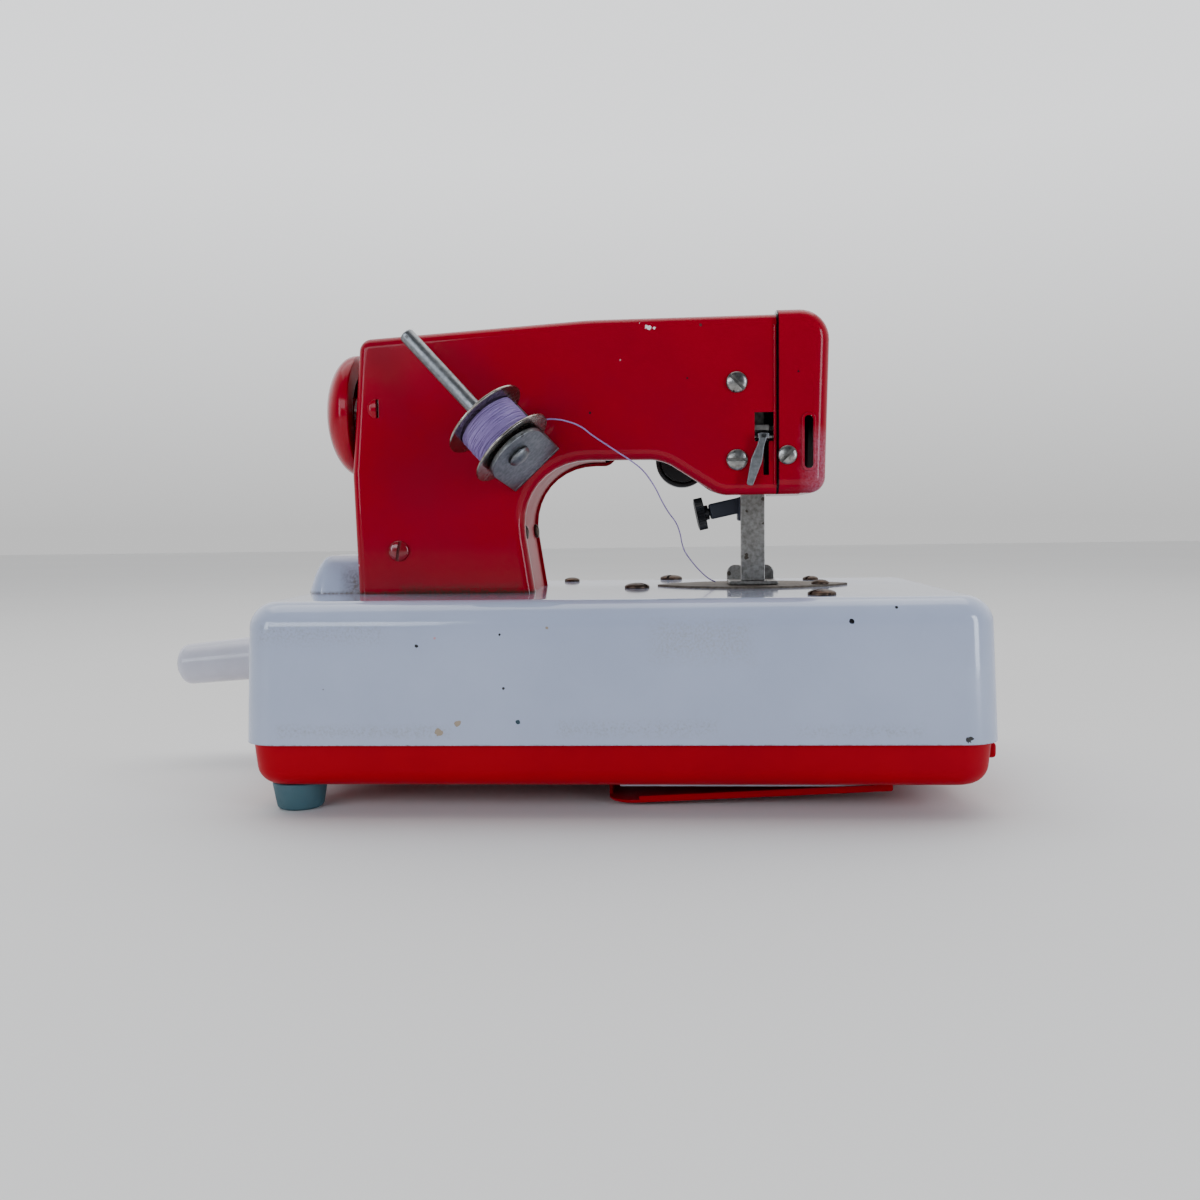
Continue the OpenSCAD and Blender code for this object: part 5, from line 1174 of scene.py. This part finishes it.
# tension knob on the far side, a cup round its stud
knob = {"place": (19.3, 24.5, bed + 39.7), "radius": 8.6, "height": 8.8, "bore": 1.55, "stem": 3.1,
        "floor": 5.9}


def makeKnob():
    c, r, h = knob, knob["radius"], knob["height"]
    cup = spun(roundedPath([
        (c["bore"], 0, 0), (c["stem"], 0, 0.2), (c["stem"], c["floor"], 0.3), (r - 1.4, c["floor"], 0.3),
        (r - 1.3, 0, 0.3), (r, 0, 0.4), (r, h - 0.8, 0.5), (r - 0.8, h, 0.4), (4, h, 2), (3.6, h - 0.5, 0.5),
        (c["bore"], h - 0.6, 0), (c["bore"], 0, 0)], 5), 64)
    moved(cup, Matrix.Translation(c["place"]) @ farSide)
    placePiece(cup, "tensionKnob", "tension_knob", "black", 40)


makeKnob()

# battery door with its turned-up edges, hanging a little open
door = {"free": -2.5, "near": -42.0, "far": 32.0, "hinge": (75.5, 4.8), "leaf": 73.9, "corner": 8.0,
        "sheet": 0.9, "ajar": 2.8, "under": 0.5, "rim": 1.4, "lip": 3.5, "knuckle": 1.7,
        "knuckleEnds": (-27, 14)}


def makeDoor():
    c, (x, z), (start, end) = door, door["hinge"], door["knuckleEnds"]
    under, rim, sides = z - c["under"], z + c["rim"], (c["near"], c["far"])
    tray = levelFace(((c["free"], c["near"]), (c["leaf"], c["near"]), (c["leaf"], c["far"]),
                      (c["free"], c["far"])), under)
    roundVerts(tray, [((c["free"], along, under), c["corner"]) for along in sides], 8)
    thickened(tray, (0, 0, rim - under))
    bevelled(tray, [e for e in tray.edges if all(v.co.z < under + 0.01 for v in e.verts)], 0.7, 4)
    dropFaces(tray, lambda place, normal: place.z > rim - 0.01)
    bare = c["corner"] + 0.5  # the rounded corners have no wall
    tray = carved(shelled(tray, c["sheet"]), *[sharpBlock(
        (c["free"] - 1, along - bare, under + c["sheet"]), (c["free"] + bare, along + bare, rim + 1))
        for along in sides])
    lip = softBlock((c["free"], c["near"] + 9, under + 0.3),
                    (c["free"] + 0.8, c["far"] - 9, z + c["lip"]), 0.35, 3)
    knuckle = rod(c["knuckle"], (x, start, z), (x, end, z), 32)
    leaf = softBlock((72.8, start, under), (x, end, z + 0.4), 0.1)
    swing = Matrix.Translation((x, 0, z)) @ turned(-c["ajar"], "Y") @ Matrix.Translation((-x, 0, -z))
    placePiece(moved(joined(tray, lip, knuckle, leaf), swing), "batteryDoor", "battery_door", "panPaint")


makeDoor()
print("small pieces made")

# light and floor; each lamp: place, target, size, power, tint
coolTint = (0.8, 0.88, 1.0)
lamps = {
    "overheadSoftbox": ((-0.05, 0.2, 0.95), (0, 0, 0.05), (1.3, 0.7), 5, (1.0, 0.99, 0.97)),
    "frontFill": ((-0.55, -1.1, 0.5), (0, 0, 0.07), (0.6, 0.35), 3.6, (0.85, 0.92, 1.0)),
    "rightWindow": ((0.72, -0.5, 0.22), (0.06, 0, 0.07), (0.2, 0.5), 3.2, coolTint),
    "leftWindow": ((-0.75, -0.65, 0.3), (-0.05, 0, 0.05), (0.22, 0.45), 2.2, coolTint)}
room = {"strength": 1.5, "ahead": (0.06, 0.065, 0.075, 1), "low": (0.5, 0.5, 0.5, 1),
        "high": (0.97, 0.98, 1.0, 1)}
floorLook = {"size": 3, "dark": (0.74, 0.73, 0.71, 1), "light": (0.8, 0.79, 0.77, 1), "rough": 0.7}


def hangLamp(name, place, target, size, power, tint):
    data = bpy.data.lights.new(name, "AREA")
    data.shape, data.size, data.size_y, data.energy, data.color = "RECTANGLE", size[0], size[1], power, tint
    made = bpy.data.objects.new(name, data)
    bpy.context.scene.collection.objects.link(made)
    aim = (Vector(target) - Vector(place)).to_track_quat("-Z", "Y").to_matrix().to_4x4()
    made.matrix_world = Matrix.Translation(place) @ aim


def paintRoom():
    world = bpy.data.worlds.new("paleRoom")
    bpy.context.scene.world = world
    world.use_nodes = True
    tree = world.node_tree
    ways = addNode(tree, "ShaderNodeTexCoord").outputs["Generated"]
    parts = addNode(tree, "ShaderNodeSeparateXYZ", {0: ways}).outputs
    behind = mixColour(tree, spread(tree, parts["Z"], 0.0, 0.3), room["low"], room["high"])
    shade = mixColour(tree, spread(tree, parts["Y"], -0.35, 0.45), room["ahead"], behind)
    tree.links.new(shade, tree.nodes["Background"].inputs["Color"])
    tree.nodes["Background"].inputs["Strength"].default_value = room["strength"]


def layFloor():
    c = floorLook
    bm = bmesh.new()
    bmesh.ops.create_grid(bm, x_segments=2, y_segments=2, size=c["size"])
    floor = asObject(bm, "paleFloor")
    made, tree, shader = newMaterial("paleFloor")
    cloud = noiseAt(tree, objectPlace(tree), 3.0, 4.0)["Fac"]
    tree.links.new(mixColour(tree, cloud, c["dark"], c["light"]), shader.inputs["Base Color"])
    shader.inputs["Roughness"].default_value = c["rough"]
    floor.data.materials.append(made)


for name, settings in lamps.items():
    hangLamp(name, *settings)
paintRoom()
layFloor()
print("scene ready")
